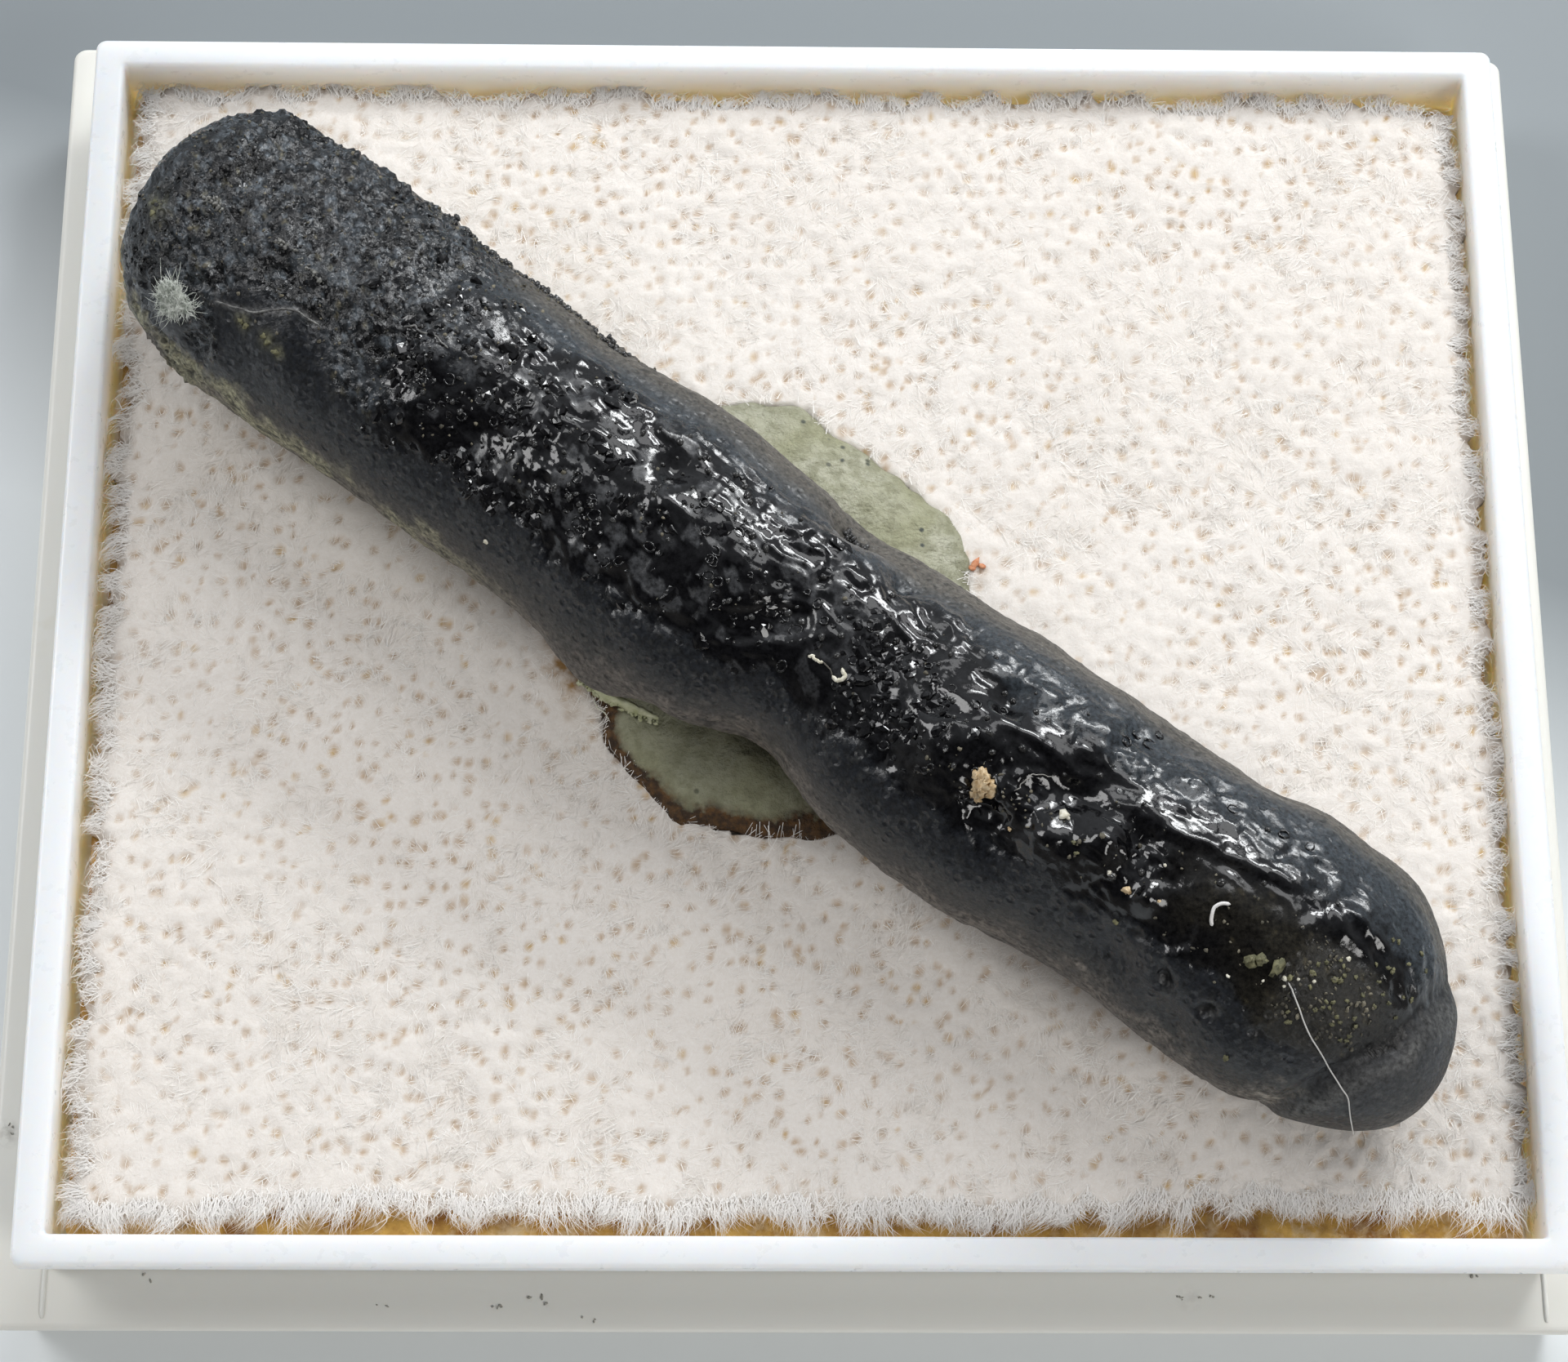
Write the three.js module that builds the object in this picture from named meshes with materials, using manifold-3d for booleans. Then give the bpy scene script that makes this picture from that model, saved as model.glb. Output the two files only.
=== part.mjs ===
// A finger of natural bitumen mounted in a small white specimen box.
// Millimetres, +Z up. The origin is the middle of the underside of the box base.
import * as THREE from "three";
import { mergeVertices } from "three/addons/utils/BufferGeometryUtils.js";
import Module from "manifold-3d";

// Box base: a low plinth whose top is the ledge that a lid would stand on.
const BASE_WIDTH = 44.9;
const BASE_DEPTH = 40.5;
const BASE_HEIGHT = 3.2;
const BASE_FOOT_INSET = 0.75; // the walls lean in by this much towards the foot
const BASE_CORNER = 0.4;
const BASE_EDGE = 0.2; // small rounding along the ledge's outer edge

// Two thin ridges on the front ledge, which hold a lid still.
const RIDGE_LEFT = -20.72; // both in line with the tray's side walls
const RIDGE_RIGHT = 21.02;
const RIDGE_WIDTH = 0.16;
const RIDGE_RISE = 0.1;
const RIDGE_END = 0.35; // clear ledge left in front of each ridge

// Tray: a shallow dish with a flat flange, standing on the plinth.
const TRAY_CENTRE_X = 0.14; // it stands a little to the right of the plinth's middle
const TRAY_OPENING_X = 41;
const TRAY_OPENING_Y = 36.2;
const TRAY_RIM = 0.89; // width of the flat top of the rim
const TRAY_WALL = 0.4;
const TRAY_FLANGE = 0.55; // thickness of the flange
const TRAY_HEIGHT = 2.5;
const TRAY_RECESS = 2;
const TRAY_CORNER = 0.3;
const REST_GAP = 0.1; // clearance between pieces that lie on each other
const TRAY_BOTTOM = BASE_HEIGHT + REST_GAP;
const TRAY_FLOOR = TRAY_BOTTOM + TRAY_HEIGHT - TRAY_RECESS;

// Amber adhesive sheet on the tray's floor, and the white pile fabric on it.
const ADHESIVE_WIDTH = 40.4;
const ADHESIVE_DEPTH = 35.6;
const ADHESIVE_THICKNESS = 0.25;
const ADHESIVE_BOTTOM = TRAY_FLOOR + REST_GAP / 2;
// The fabric is cut a little out of square: front left, front right, back right, back left.
const PILE_CORNERS = [[-20.15, -17.35], [20.4, -17.1], [20.4, 17.65], [-20.1, 17.9]];
const PILE_THICKNESS = 0.75; // backing knit and pile together
const PILE_BOTTOM = ADHESIVE_BOTTOM + ADHESIVE_THICKNESS + REST_GAP / 2;
const PILE_TOP = PILE_BOTTOM + PILE_THICKNESS;

// Putty: one flattened blob under the middle of the specimen.
const PUTTY_CENTRE = [-0.6, -0.6];
const PUTTY_REACH = [6.1, 6.45, 6.7, 7.9, 7.8, 6.6, 5.75, 5.4, 5.75, 5.85, 5.95, 6]; // every 30 degrees
const PUTTY_BOTTOM = PILE_TOP + REST_GAP / 2;
const PUTTY_HEIGHT = 1.35;
const PUTTY_CLEARANCE = 0.15; // gap between the putty and the bitumen pressed into it

// Bitumen: a thick bent finger. Its length runs along an axis turned in plan.
const AXIS_ORIGIN = [-0.5, 0];
const AXIS_TURN = THREE.MathUtils.degToRad(-34.5);
const LEFT_END = -21.75;
const RIGHT_END = 23;
const LEFT_CAP = 3.2; // length over which the left end rounds off
const RIGHT_CAP = 4.4;
const LEFT_SQUARENESS = 3.1; // 2 is a round end, more is blunter
const RIGHT_SQUARENESS = 2.3;
const LEFT_SLANT = 0.2; // how far the left end's near side reaches out, and its far side falls short
const SIDE_LEAN = 1.05; // the stated edges are the outline seen from above and in front
// Stations along the axis: far edge, near edge, crown height and belly height.
const STATIONS = [
  { at: -22, far: 4, near: -3.3, crown: 11.9, belly: 5.2 },
  { at: -18.5, far: 4.05, near: -4.45, crown: 12.35, belly: 5.1 },
  { at: -15, far: 3.9, near: -4.7, crown: 12.5, belly: 5.1 },
  { at: -11, far: 3.5, near: -4.75, crown: 12.4, belly: 5.3 },
  { at: -7, far: 3.2, near: -5, crown: 12.3, belly: 5.6 },
  { at: -3, far: 3.25, near: -5.4, crown: 12.4, belly: 5.8 },
  { at: 0, far: 2.8, near: -5.35, crown: 12.2, belly: 5.9 },
  { at: 2.2, far: 2.7, near: -4.5, crown: 12, belly: 5.9 },
  { at: 5, far: 2.75, near: -5.4, crown: 12.1, belly: 5.7 },
  { at: 8.5, far: 2.65, near: -5.5, crown: 12.5, belly: 5.3 },
  { at: 12.5, far: 2.55, near: -5.05, crown: 12.3, belly: 5.1 },
  { at: 17, far: 2.9, near: -5.35, crown: 12.2, belly: 5.05 },
  { at: 20, far: 2.55, near: -5, crown: 11.6, belly: 5.05 },
  { at: 23, far: 1.3, near: -4.75, crown: 10.6, belly: 5.1 },
];
const LUMP_SIZE = 1.5;
const LUMP_RISE = 0.17;
const SWELL_SIZE = 5;
const SWELL_RISE = 0.15;
// Local forms on the crown and flanks: place along the axis, angle round it
// (0 = far side, 90 = crown, 180 = near side), radius of the form, and rise.
const FORMS = [
  { at: -1, angle: 205, radius: 1.5, rise: -0.35 }, // fold on the near flank
  { at: 1.6, angle: 30, radius: 1.1, rise: -0.45 }, // waist pit on the far flank
  { at: 3.6, angle: 40, radius: 0.9, rise: -0.3 },
  { at: 7.5, angle: 100, radius: 1.1, rise: 0.25 }, // knob on the crown
  { at: 9.5, angle: 130, radius: 1, rise: -0.35 },
  { at: 12, angle: 118, radius: 1, rise: 0.3 },
  { at: 14, angle: 150, radius: 0.9, rise: -0.3 },
  { at: 16, angle: 160, radius: 0.8, rise: -0.3 },
];
// A fold runs round the right end and leaves a lower lip.
const CREASE_START = { at: 22, angle: 20 };
const CREASE_END = { at: 18.7, angle: 215 };
const CREASE_DEPTH = 0.42;
const CREASE_WIDTH = 0.65;
const BODY_SIDES = 34;
const BODY_ROWS = 96;

// Seeded lattice noise from -1 to 1, smooth between whole-number points.
function latticeValue(x, y, z) {
  const n = Math.sin(x * 127.1 + y * 311.7 + z * 74.7) * 43758.5453;
  return 2 * (n - Math.floor(n)) - 1;
}

function smoothNoise(x, y, z) {
  const cell = [Math.floor(x), Math.floor(y), Math.floor(z)];
  const ease = [x - cell[0], y - cell[1], z - cell[2]].map((t) => t * t * (3 - 2 * t));
  let sum = 0;
  for (let corner = 0; corner < 8; corner++) {
    const bit = [corner & 1, (corner >> 1) & 1, corner >> 2];
    const weight = bit.reduce((w, b, i) => w * (b ? ease[i] : 1 - ease[i]), 1);
    sum += weight * latticeValue(cell[0] + bit[0], cell[1] + bit[1], cell[2] + bit[2]);
  }
  return sum;
}

// Catmull-Rom value through four neighbours, t from 0 to 1 between b and c.
function cubic(a, b, c, d, t) {
  return b + 0.5 * t * (c - a + t * (2 * a - 5 * b + 4 * c - d + t * (3 * (b - c) + d - a)));
}

// The section of the finger at a place along its axis.
function stationAt(along) {
  const last = STATIONS.length - 1;
  let i = STATIONS.findIndex((s) => s.at > along) - 1;
  if (i === -2) i = last - 1;
  i = THREE.MathUtils.clamp(i, 0, last - 1);
  const near = (k) => STATIONS[THREE.MathUtils.clamp(k, 0, last)];
  const t = THREE.MathUtils.clamp((along - near(i).at) / (near(i + 1).at - near(i).at), 0, 1);
  const value = (key) =>
    cubic(near(i - 1)[key], near(i)[key], near(i + 1)[key], near(i + 2)[key], t);
  return { far: value("far"), near: value("near"), crown: value("crown"), belly: value("belly") };
}

// Signed rise of the pebbly lumps, the pits and the fold at a point of the surface.
function reliefAt(along, angle, reach) {
  const across = reach * Math.cos(angle);
  const up = reach * Math.sin(angle);
  const lump = smoothNoise(along / LUMP_SIZE, across / LUMP_SIZE, up / LUMP_SIZE);
  const swell = smoothNoise(along / SWELL_SIZE + 9, across / SWELL_SIZE, up / SWELL_SIZE);
  const crownShare = 0.35 + 0.65 * Math.max(0, Math.sin(angle + 0.25));
  let rise = LUMP_RISE * lump * crownShare + SWELL_RISE * swell;
  for (const form of FORMS) {
    const turn = Math.abs(angle - THREE.MathUtils.degToRad(form.angle));
    const round = reach * Math.min(turn, 2 * Math.PI - turn);
    const far = Math.hypot(along - form.at, round) / form.radius;
    rise += form.rise * Math.exp(-far * far);
  }
  const startAngle = THREE.MathUtils.degToRad(CREASE_START.angle);
  const endAngle = THREE.MathUtils.degToRad(CREASE_END.angle);
  const way = (angle - startAngle) / (endAngle - startAngle);
  if (way > -0.15 && way < 1.1) {
    const creaseAt = THREE.MathUtils.lerp(CREASE_START.at, CREASE_END.at, way * way);
    const off = (along - creaseAt) / CREASE_WIDTH;
    rise -= CREASE_DEPTH * Math.exp(-off * off) * Math.min(1, 1.1 - way, way + 0.2);
  }
  return rise;
}

// How far the rounding of the two ends lets the section grow, 0 at a tip.
function capShare(along) {
  const left = Math.min(1, Math.max(0, along - LEFT_END) / LEFT_CAP);
  const right = Math.min(1, Math.max(0, RIGHT_END - along) / RIGHT_CAP);
  const round = (share, power) => (1 - (1 - share) ** power) ** (1 / power);
  return round(left, LEFT_SQUARENESS) * round(right, RIGHT_SQUARENESS);
}

// Place along the axis of a row, from 0 at the left tip to 1 at the right tip.
function rowPlace(share) {
  const leftRows = 0.13;
  const rightRows = 0.15;
  if (share < leftRows) return LEFT_END + LEFT_CAP * (1 - Math.cos((share / leftRows) * Math.PI / 2));
  if (share > 1 - rightRows) {
    return RIGHT_END - RIGHT_CAP * (1 - Math.cos(((1 - share) / rightRows) * Math.PI / 2));
  }
  const t = (share - leftRows) / (1 - leftRows - rightRows);
  return THREE.MathUtils.lerp(LEFT_END + LEFT_CAP, RIGHT_END - RIGHT_CAP, t);
}

// A closed geometry with only positions and shared vertices.
function weld(geometry) {
  geometry.deleteAttribute("normal");
  geometry.deleteAttribute("uv");
  return mergeVertices(geometry, 1e-4);
}

// The finger of bitumen, grown by a clearance where a neighbour is cut to fit it.
function bitumenGeometry(grow = 0) {
  const geometry = weld(new THREE.SphereGeometry(1, BODY_SIDES, BODY_ROWS));
  const points = geometry.getAttribute("position");
  const turnX = Math.cos(AXIS_TURN);
  const turnY = Math.sin(AXIS_TURN);
  for (let i = 0; i < points.count; i++) {
    const unit = new THREE.Vector3().fromBufferAttribute(points, i);
    const row = Math.acos(THREE.MathUtils.clamp(unit.y, -1, 1)) / Math.PI;
    const angle = (Math.atan2(unit.z, unit.x) + 2 * Math.PI) % (2 * Math.PI);
    const along = rowPlace(row);
    const section = stationAt(along);
    const half = (section.far - section.near) / 2 / SIDE_LEAN;
    const middle = (section.far + section.near) / 2;
    const tall = (section.crown - section.belly) / 2;
    const level = (section.crown + section.belly) / 2;
    const share = capShare(along);
    const swell = share > 0 ? reliefAt(along, angle, (half + tall) / 2) * share + grow : 0;
    const across = middle + Math.cos(angle) * (half * share + swell);
    const up = level + Math.sin(angle) * (tall * share + swell);
    const slant = LEFT_SLANT * Math.max(0, 1 - (along - LEFT_END) / (2 * LEFT_CAP));
    const end = along + slant * share * Math.cos(angle) + (share > 0 ? 0 : Math.sign(along) * grow);
    points.setXYZ(
      i,
      AXIS_ORIGIN[0] + end * turnX - across * turnY,
      AXIS_ORIGIN[1] + end * turnY + across * turnX,
      up,
    );
  }
  return geometry;
}

// The putty before the bitumen is pressed into it.
function puttyGeometry() {
  const geometry = weld(new THREE.SphereGeometry(1, 40, 14));
  const points = geometry.getAttribute("position");
  const count = PUTTY_REACH.length;
  for (let i = 0; i < points.count; i++) {
    const unit = new THREE.Vector3().fromBufferAttribute(points, i);
    const turn = ((Math.atan2(-unit.z, unit.x) / (2 * Math.PI)) * count + count) % count;
    const k = Math.floor(turn) % count;
    const value = (step) => PUTTY_REACH[(k + step + count) % count];
    const reach = cubic(value(-1), value(0), value(1), value(2), turn - Math.floor(turn));
    const flat = Math.hypot(unit.x, unit.z);
    const angle = Math.atan2(-unit.z, unit.x);
    const dimple = 0.12 * smoothNoise(unit.x * 4, unit.z * 4, 3) * flat;
    const rise = unit.y > 1e-6 ? PUTTY_HEIGHT * unit.y ** 0.7 + dimple * unit.y : 0;
    points.setXYZ(
      i,
      PUTTY_CENTRE[0] + reach * flat * Math.cos(angle),
      PUTTY_CENTRE[1] + reach * flat * Math.sin(angle),
      PUTTY_BOTTOM + rise,
    );
  }
  return geometry;
}

// A rectangle with rounded corners, centred on the origin.
function roundedRectangle(width, depth, corner) {
  const shape = new THREE.Shape();
  const x = width / 2 - corner;
  const y = depth / 2 - corner;
  shape.absarc(x, -y, corner, -Math.PI / 2, 0);
  shape.absarc(x, y, corner, 0, Math.PI / 2);
  shape.absarc(-x, y, corner, Math.PI / 2, Math.PI);
  shape.absarc(-x, -y, corner, Math.PI, 1.5 * Math.PI);
  shape.closePath();
  return shape;
}

// An upright slab of that outline between two heights.
function slabGeometry(width, depth, corner, bottom, top) {
  const geometry = new THREE.ExtrudeGeometry(roundedRectangle(width, depth, corner), {
    depth: top - bottom,
    bevelEnabled: false,
    curveSegments: 5,
  });
  return weld(geometry.translate(0, 0, bottom));
}

const wasm = await Module();
wasm.setup();

function solidFrom(geometry) {
  return new wasm.Manifold(
    new wasm.Mesh({
      numProp: 3,
      vertProperties: geometry.getAttribute("position").array,
      triVerts: new Uint32Array(geometry.index.array),
    }),
  );
}

function geometryFrom(solid) {
  const mesh = solid.getMesh();
  const geometry = new THREE.BufferGeometry();
  geometry.setAttribute("position", new THREE.BufferAttribute(mesh.vertProperties, 3));
  geometry.setIndex(new THREE.BufferAttribute(mesh.triVerts, 1));
  geometry.computeVertexNormals();
  return geometry;
}

// The plinth: walls lean in to the foot, a small slope softens the ledge's edge.
function baseGeometry() {
  const body = slabGeometry(BASE_WIDTH, BASE_DEPTH, BASE_CORNER, 0, BASE_HEIGHT);
  const points = body.getAttribute("position");
  for (let i = 0; i < points.count; i++) {
    if (points.getZ(i) > BASE_HEIGHT / 2) continue;
    points.setX(i, points.getX(i) * (1 - (2 * BASE_FOOT_INSET) / BASE_WIDTH));
    points.setY(i, points.getY(i) * (1 - (2 * BASE_FOOT_INSET) / BASE_DEPTH));
  }
  const softTop = slabGeometry(BASE_WIDTH, BASE_DEPTH, BASE_CORNER, -1, BASE_HEIGHT);
  const top = softTop.getAttribute("position");
  for (let i = 0; i < top.count; i++) {
    const inset = top.getZ(i) > 0 ? BASE_EDGE : -(BASE_HEIGHT + 1 - BASE_EDGE);
    top.setX(i, top.getX(i) - Math.sign(top.getX(i)) * inset);
    top.setY(i, top.getY(i) - Math.sign(top.getY(i)) * inset);
  }
  let solid = solidFrom(body).intersect(solidFrom(softTop));
  const back = -TRAY_OPENING_Y / 2;
  const front = -BASE_DEPTH / 2 + RIDGE_END;
  for (const x of [RIDGE_LEFT, RIDGE_RIGHT]) {
    const ridge = new THREE.CylinderGeometry(RIDGE_WIDTH / 2, RIDGE_WIDTH / 2, back - front, 8);
    ridge.scale(1, 1, (2 * RIDGE_RISE) / RIDGE_WIDTH);
    ridge.translate(x, (front + back) / 2, BASE_HEIGHT);
    solid = solid.add(solidFrom(weld(ridge)));
  }
  return geometryFrom(solid);
}

// The dish: a flange on a thin wall, hollowed from above.
function trayGeometry() {
  const top = TRAY_BOTTOM + TRAY_HEIGHT;
  const slab = (grow, corner, bottom, height) =>
    solidFrom(
      slabGeometry(TRAY_OPENING_X + 2 * grow, TRAY_OPENING_Y + 2 * grow, corner, bottom, height),
    );
  const flange = slab(TRAY_RIM, TRAY_CORNER, top - TRAY_FLANGE, top);
  const wall = slab(TRAY_WALL, TRAY_CORNER, TRAY_BOTTOM, top - TRAY_FLANGE / 2);
  const hollow = slab(0, TRAY_CORNER / 3, TRAY_FLOOR, top + 1);
  return geometryFrom(flange.add(wall).subtract(hollow));
}

function pileGeometry() {
  const outline = new THREE.Shape(PILE_CORNERS.map(([x, y]) => new THREE.Vector2(x, y)));
  const settings = { depth: PILE_THICKNESS, bevelEnabled: false };
  return weld(new THREE.ExtrudeGeometry(outline, settings).translate(0, 0, PILE_BOTTOM));
}

function adhesiveGeometry() {
  const top = ADHESIVE_BOTTOM + ADHESIVE_THICKNESS;
  return slabGeometry(ADHESIVE_WIDTH, ADHESIVE_DEPTH, 0.2, ADHESIVE_BOTTOM, top);
}

function pressedPuttyGeometry() {
  const pressed = solidFrom(puttyGeometry()).subtract(solidFrom(bitumenGeometry(PUTTY_CLEARANCE)));
  return geometryFrom(pressed);
}

// One named piece of the specimen box.
function piece(name, geometry, color, roughness) {
  geometry.computeVertexNormals();
  const material = new THREE.MeshStandardMaterial({ color, roughness, metalness: 0 });
  const mesh = new THREE.Mesh(geometry, material);
  mesh.name = name;
  return mesh;
}

const specimen = new THREE.Group();
const trayGroup = new THREE.Group();
trayGroup.position.x = TRAY_CENTRE_X;
trayGroup.add(piece("tray", trayGeometry(), 0xe9eef0, 0.4));
trayGroup.add(piece("adhesive_backing", adhesiveGeometry(), 0xc08a3c, 0.35));
specimen.add(trayGroup);
specimen.add(piece("box_base", baseGeometry(), 0xe9e6dc, 0.45));
specimen.add(piece("pile_pad", pileGeometry(), 0xf0e6dc, 0.95));
specimen.add(piece("putty", pressedPuttyGeometry(), 0xc6c8b0, 0.7));
specimen.add(piece("bitumen", bitumenGeometry(), 0x16181a, 0.3));

export default specimen;
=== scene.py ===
"""Looks of the bitumen specimen in its small white box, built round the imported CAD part.

Lengths are millimetres in the CAD frame where no comment says metres, and meshes are made in metres.
"""

import math

import bpy
import numpy as np
from mathutils import Matrix, Vector


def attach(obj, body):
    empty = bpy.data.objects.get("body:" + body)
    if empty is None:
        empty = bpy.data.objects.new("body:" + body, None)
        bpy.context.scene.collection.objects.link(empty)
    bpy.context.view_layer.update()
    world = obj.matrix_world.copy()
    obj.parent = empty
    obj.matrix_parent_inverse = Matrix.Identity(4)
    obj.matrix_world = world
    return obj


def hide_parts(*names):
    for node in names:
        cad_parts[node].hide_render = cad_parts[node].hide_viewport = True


MM = 0.001
FAR_AWAY = 99.0

# Box, as in the CAD
BASE_WIDTH = 44.9
BASE_DEPTH = 40.5
BASE_HEIGHT = 3.2
BASE_FOOT_INSET = 0.75
BASE_FOOT_HEIGHT = 0.12
BASE_TOP_INSET = 0.045
BASE_EDGE = 0.2
TRAY_CENTRE_X = 0.14
TRAY_OPENING_X = 41.0
TRAY_OPENING_Y = 36.2
TRAY_RIM = 0.89
TRAY_WALL = 0.4
TRAY_FLANGE = 0.55
TRAY_BOTTOM = 3.3
TRAY_TOP = 5.8
TRAY_FLOOR = 3.8
TRAY_FILLET = 0.16
TRAY_EDGE = 0.13
RIDGES_X = (-20.72, 21.02)
RIDGE_PLACES = 24
RIDGE_SIDES = 8
CRISP_ANGLE = math.radians(35)
PILE_BOTTOM = 4.15
PILE_TOP = 4.9
PILE_CORNERS = ((-20.15, -17.35), (20.4, -17.1), (20.4, 17.65), (-20.1, 17.9))
ADHESIVE_TOP = 4.1

# Bitumen, as in the CAD: place along the axis, far edge, near edge, crown and belly
AXIS_ORIGIN = (-0.5, 0.0)
AXIS_TURN = math.radians(-34.5)
LEFT_END = -21.75
RIGHT_END = 23.0
LEFT_CAP = 3.2
RIGHT_CAP = 4.4
LEFT_SQUARENESS = 3.1
RIGHT_SQUARENESS = 2.3
LEFT_SLANT = 0.2
SIDE_LEAN = 1.05
STATIONS = (
    (-22, 4, -3.3, 11.9, 5.2), (-18.5, 4.05, -4.45, 12.35, 5.1), (-15, 3.9, -4.7, 12.5, 5.1),
    (-11, 3.5, -4.75, 12.4, 5.3), (-7, 3.2, -5, 12.3, 5.6), (-3, 3.25, -5.4, 12.4, 5.8),
    (0, 2.8, -5.35, 12.2, 5.9), (2.2, 2.7, -4.5, 12, 5.9), (5, 2.75, -5.4, 12.1, 5.7),
    (8.5, 2.65, -5.5, 12.5, 5.3), (12.5, 2.55, -5.05, 12.3, 5.1), (17, 2.9, -5.35, 12.2, 5.05),
    (20, 2.55, -5, 11.6, 5.05), (23, 1.3, -4.75, 10.6, 5.1),
)
LUMP_SIZE = 1.5
LUMP_RISE = 0.17
SWELL_SIZE = 5.0
SWELL_RISE = 0.15

# Local forms: place along the axis, angle round it, radius and rise
FORMS = (
    (-1, 205, 1.5, -0.35), (1.6, 30, 1.1, -0.45), (3.6, 40, 0.9, -0.3), (7.5, 100, 1.1, 0.25),
    (9.5, 130, 1, -0.35), (12, 118, 1, 0.3), (14, 150, 0.9, -0.3), (16, 160, 0.8, -0.3),
)
CREASE_START = (22, 20)
CREASE_END = (18.7, 215)
CREASE_DEPTH = 0.42
CREASE_WIDTH = 0.65


def ramp(value, low, high):
    """0 below low, 1 above high and smooth between; low may be the greater."""
    t = np.clip((np.asarray(value, float) - low) / (high - low), 0, 1)
    return t * t * (3 - 2 * t)


def bell(value, width):
    """1 at 0, falling off smoothly on both sides over about that width."""
    return np.exp(-((value / width) ** 2))


def dome(value, width):
    """1 at 0, falling to 0 at that width and beyond."""
    return np.clip(1 - (value / width) ** 2, 0, 1)


# ---- noise ----


# Odd numbers that scatter the bits of a lattice point, and the greatest 32-bit number
HASH_X, HASH_Y, HASH_Z, HASH_SEED = (np.uint32(n) for n in (374761393, 668265263, 2246822519, 3266489917))
HASH_MOST = 0xFFFFFFFF


def hashed(x, y, z, seed):
    """A random number from 0 to 1 for each whole-number lattice point."""
    x, y, z = (np.asarray(v).astype(np.int64).astype(np.uint32) for v in (x, y, z))
    bits = x * HASH_X + y * HASH_Y + z * HASH_Z + np.uint32((seed * int(HASH_SEED)) & HASH_MOST)
    for shift, factor in ((15, HASH_Z), (13, HASH_SEED)):
        bits = (bits ^ (bits >> np.uint32(shift))) * factor
    return (bits ^ (bits >> np.uint32(16))) / float(HASH_MOST)


def blended(scaled, ease, value):
    """A value given at lattice points, blended between the eight corners of each point's cell."""
    cell = np.floor(scaled)
    share = ease(scaled - cell)
    total = np.zeros(scaled.shape[:-1])
    for corner in range(8):
        bits = (corner & 1, corner >> 1 & 1, corner >> 2)
        weight = np.ones_like(total)
        for axis, bit in enumerate(bits):
            weight = weight * (share[..., axis] if bit else 1 - share[..., axis])
        total += weight * value(*(cell[..., k] + bits[k] for k in range(3)))
    return total


def noise(points, size, seed):
    """Smooth noise from -1 to 1 with features of about that size; each use has a seed of its own."""

    def ease(part):
        """A share of the way across a cell, smooth at both ends."""
        return part**3 * (part * (part * 6 - 15) + 10)

    def value(x, y, z):
        """The lattice points' numbers for this seed."""
        return hashed(x, y, z, seed)

    return 2 * blended(np.asarray(points, float) / size, ease, value) - 1


def fractal(points, size, octaves, seed, fade=0.5):
    """Noise summed over octaves, each half the size of the last."""
    total = 0
    weight = 1.0
    for k in range(octaves):
        total = total + weight * noise(points, size / 2**k, seed + 17 * k)
        weight *= fade
    return total


def cells(points, size, seed, scatter=1.0):
    """Scattered points: distances to the nearest two in sizes, the nearest's number, and the way from it."""
    scaled = np.asarray(points, float) / size
    cell = np.floor(scaled)
    first = np.full(scaled.shape[:-1], FAR_AWAY)
    second = first.copy()
    number = np.zeros_like(first)
    offset = np.zeros_like(scaled)
    flat = np.ptp(scaled[..., 2]) == 0
    for dx in (-1, 0, 1):
        for dy in (-1, 0, 1):
            for dz in (0,) if flat else (-1, 0, 1):
                near = cell + (dx, dy, dz)
                parts = tuple(near[..., k] for k in range(3))
                jitter = np.stack([hashed(*parts, seed + axis) for axis in range(3)], -1)
                gap = scaled - near - 0.5 - scatter * (jitter - 0.5)
                if flat:
                    gap[..., 2] = 0
                far = np.linalg.norm(gap, axis=-1)
                closer = far < first
                second = np.where(closer, first, np.minimum(second, far))
                number = np.where(closer, hashed(*parts, seed + 5), number)
                offset = np.where(closer[..., None], gap, offset)
                first = np.where(closer, far, first)
    return first, second, number, offset


def facets(points, size, seed):
    """A broken surface: each cell tilts its own way. Gives its rise, the gap to its edge and its number."""
    first, second, number, offset = cells(points, size, seed)
    tilt = np.sin(number[..., None] * (41.0, 73.0, 117.0) + (0.0, 1.0, 2.0))
    return (offset * tilt).sum(-1) * size, second - first, number


def lattice_value(x, y, z):
    """The CAD's own lattice noise, so that the large lumps stand in the same places."""
    n = np.sin(x * 127.1 + y * 311.7 + z * 74.7) * 43758.5453
    return 2 * (n - np.floor(n)) - 1


def lattice_noise(x, y, z):
    """The CAD's noise between its lattice points."""
    return blended(np.stack((x, y, z), -1), lambda part: part**2 * (3 - 2 * part), lattice_value)


# ---- meshes ----

CORNER_STEPS = 7
EDGE_STEPS = 5


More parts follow.
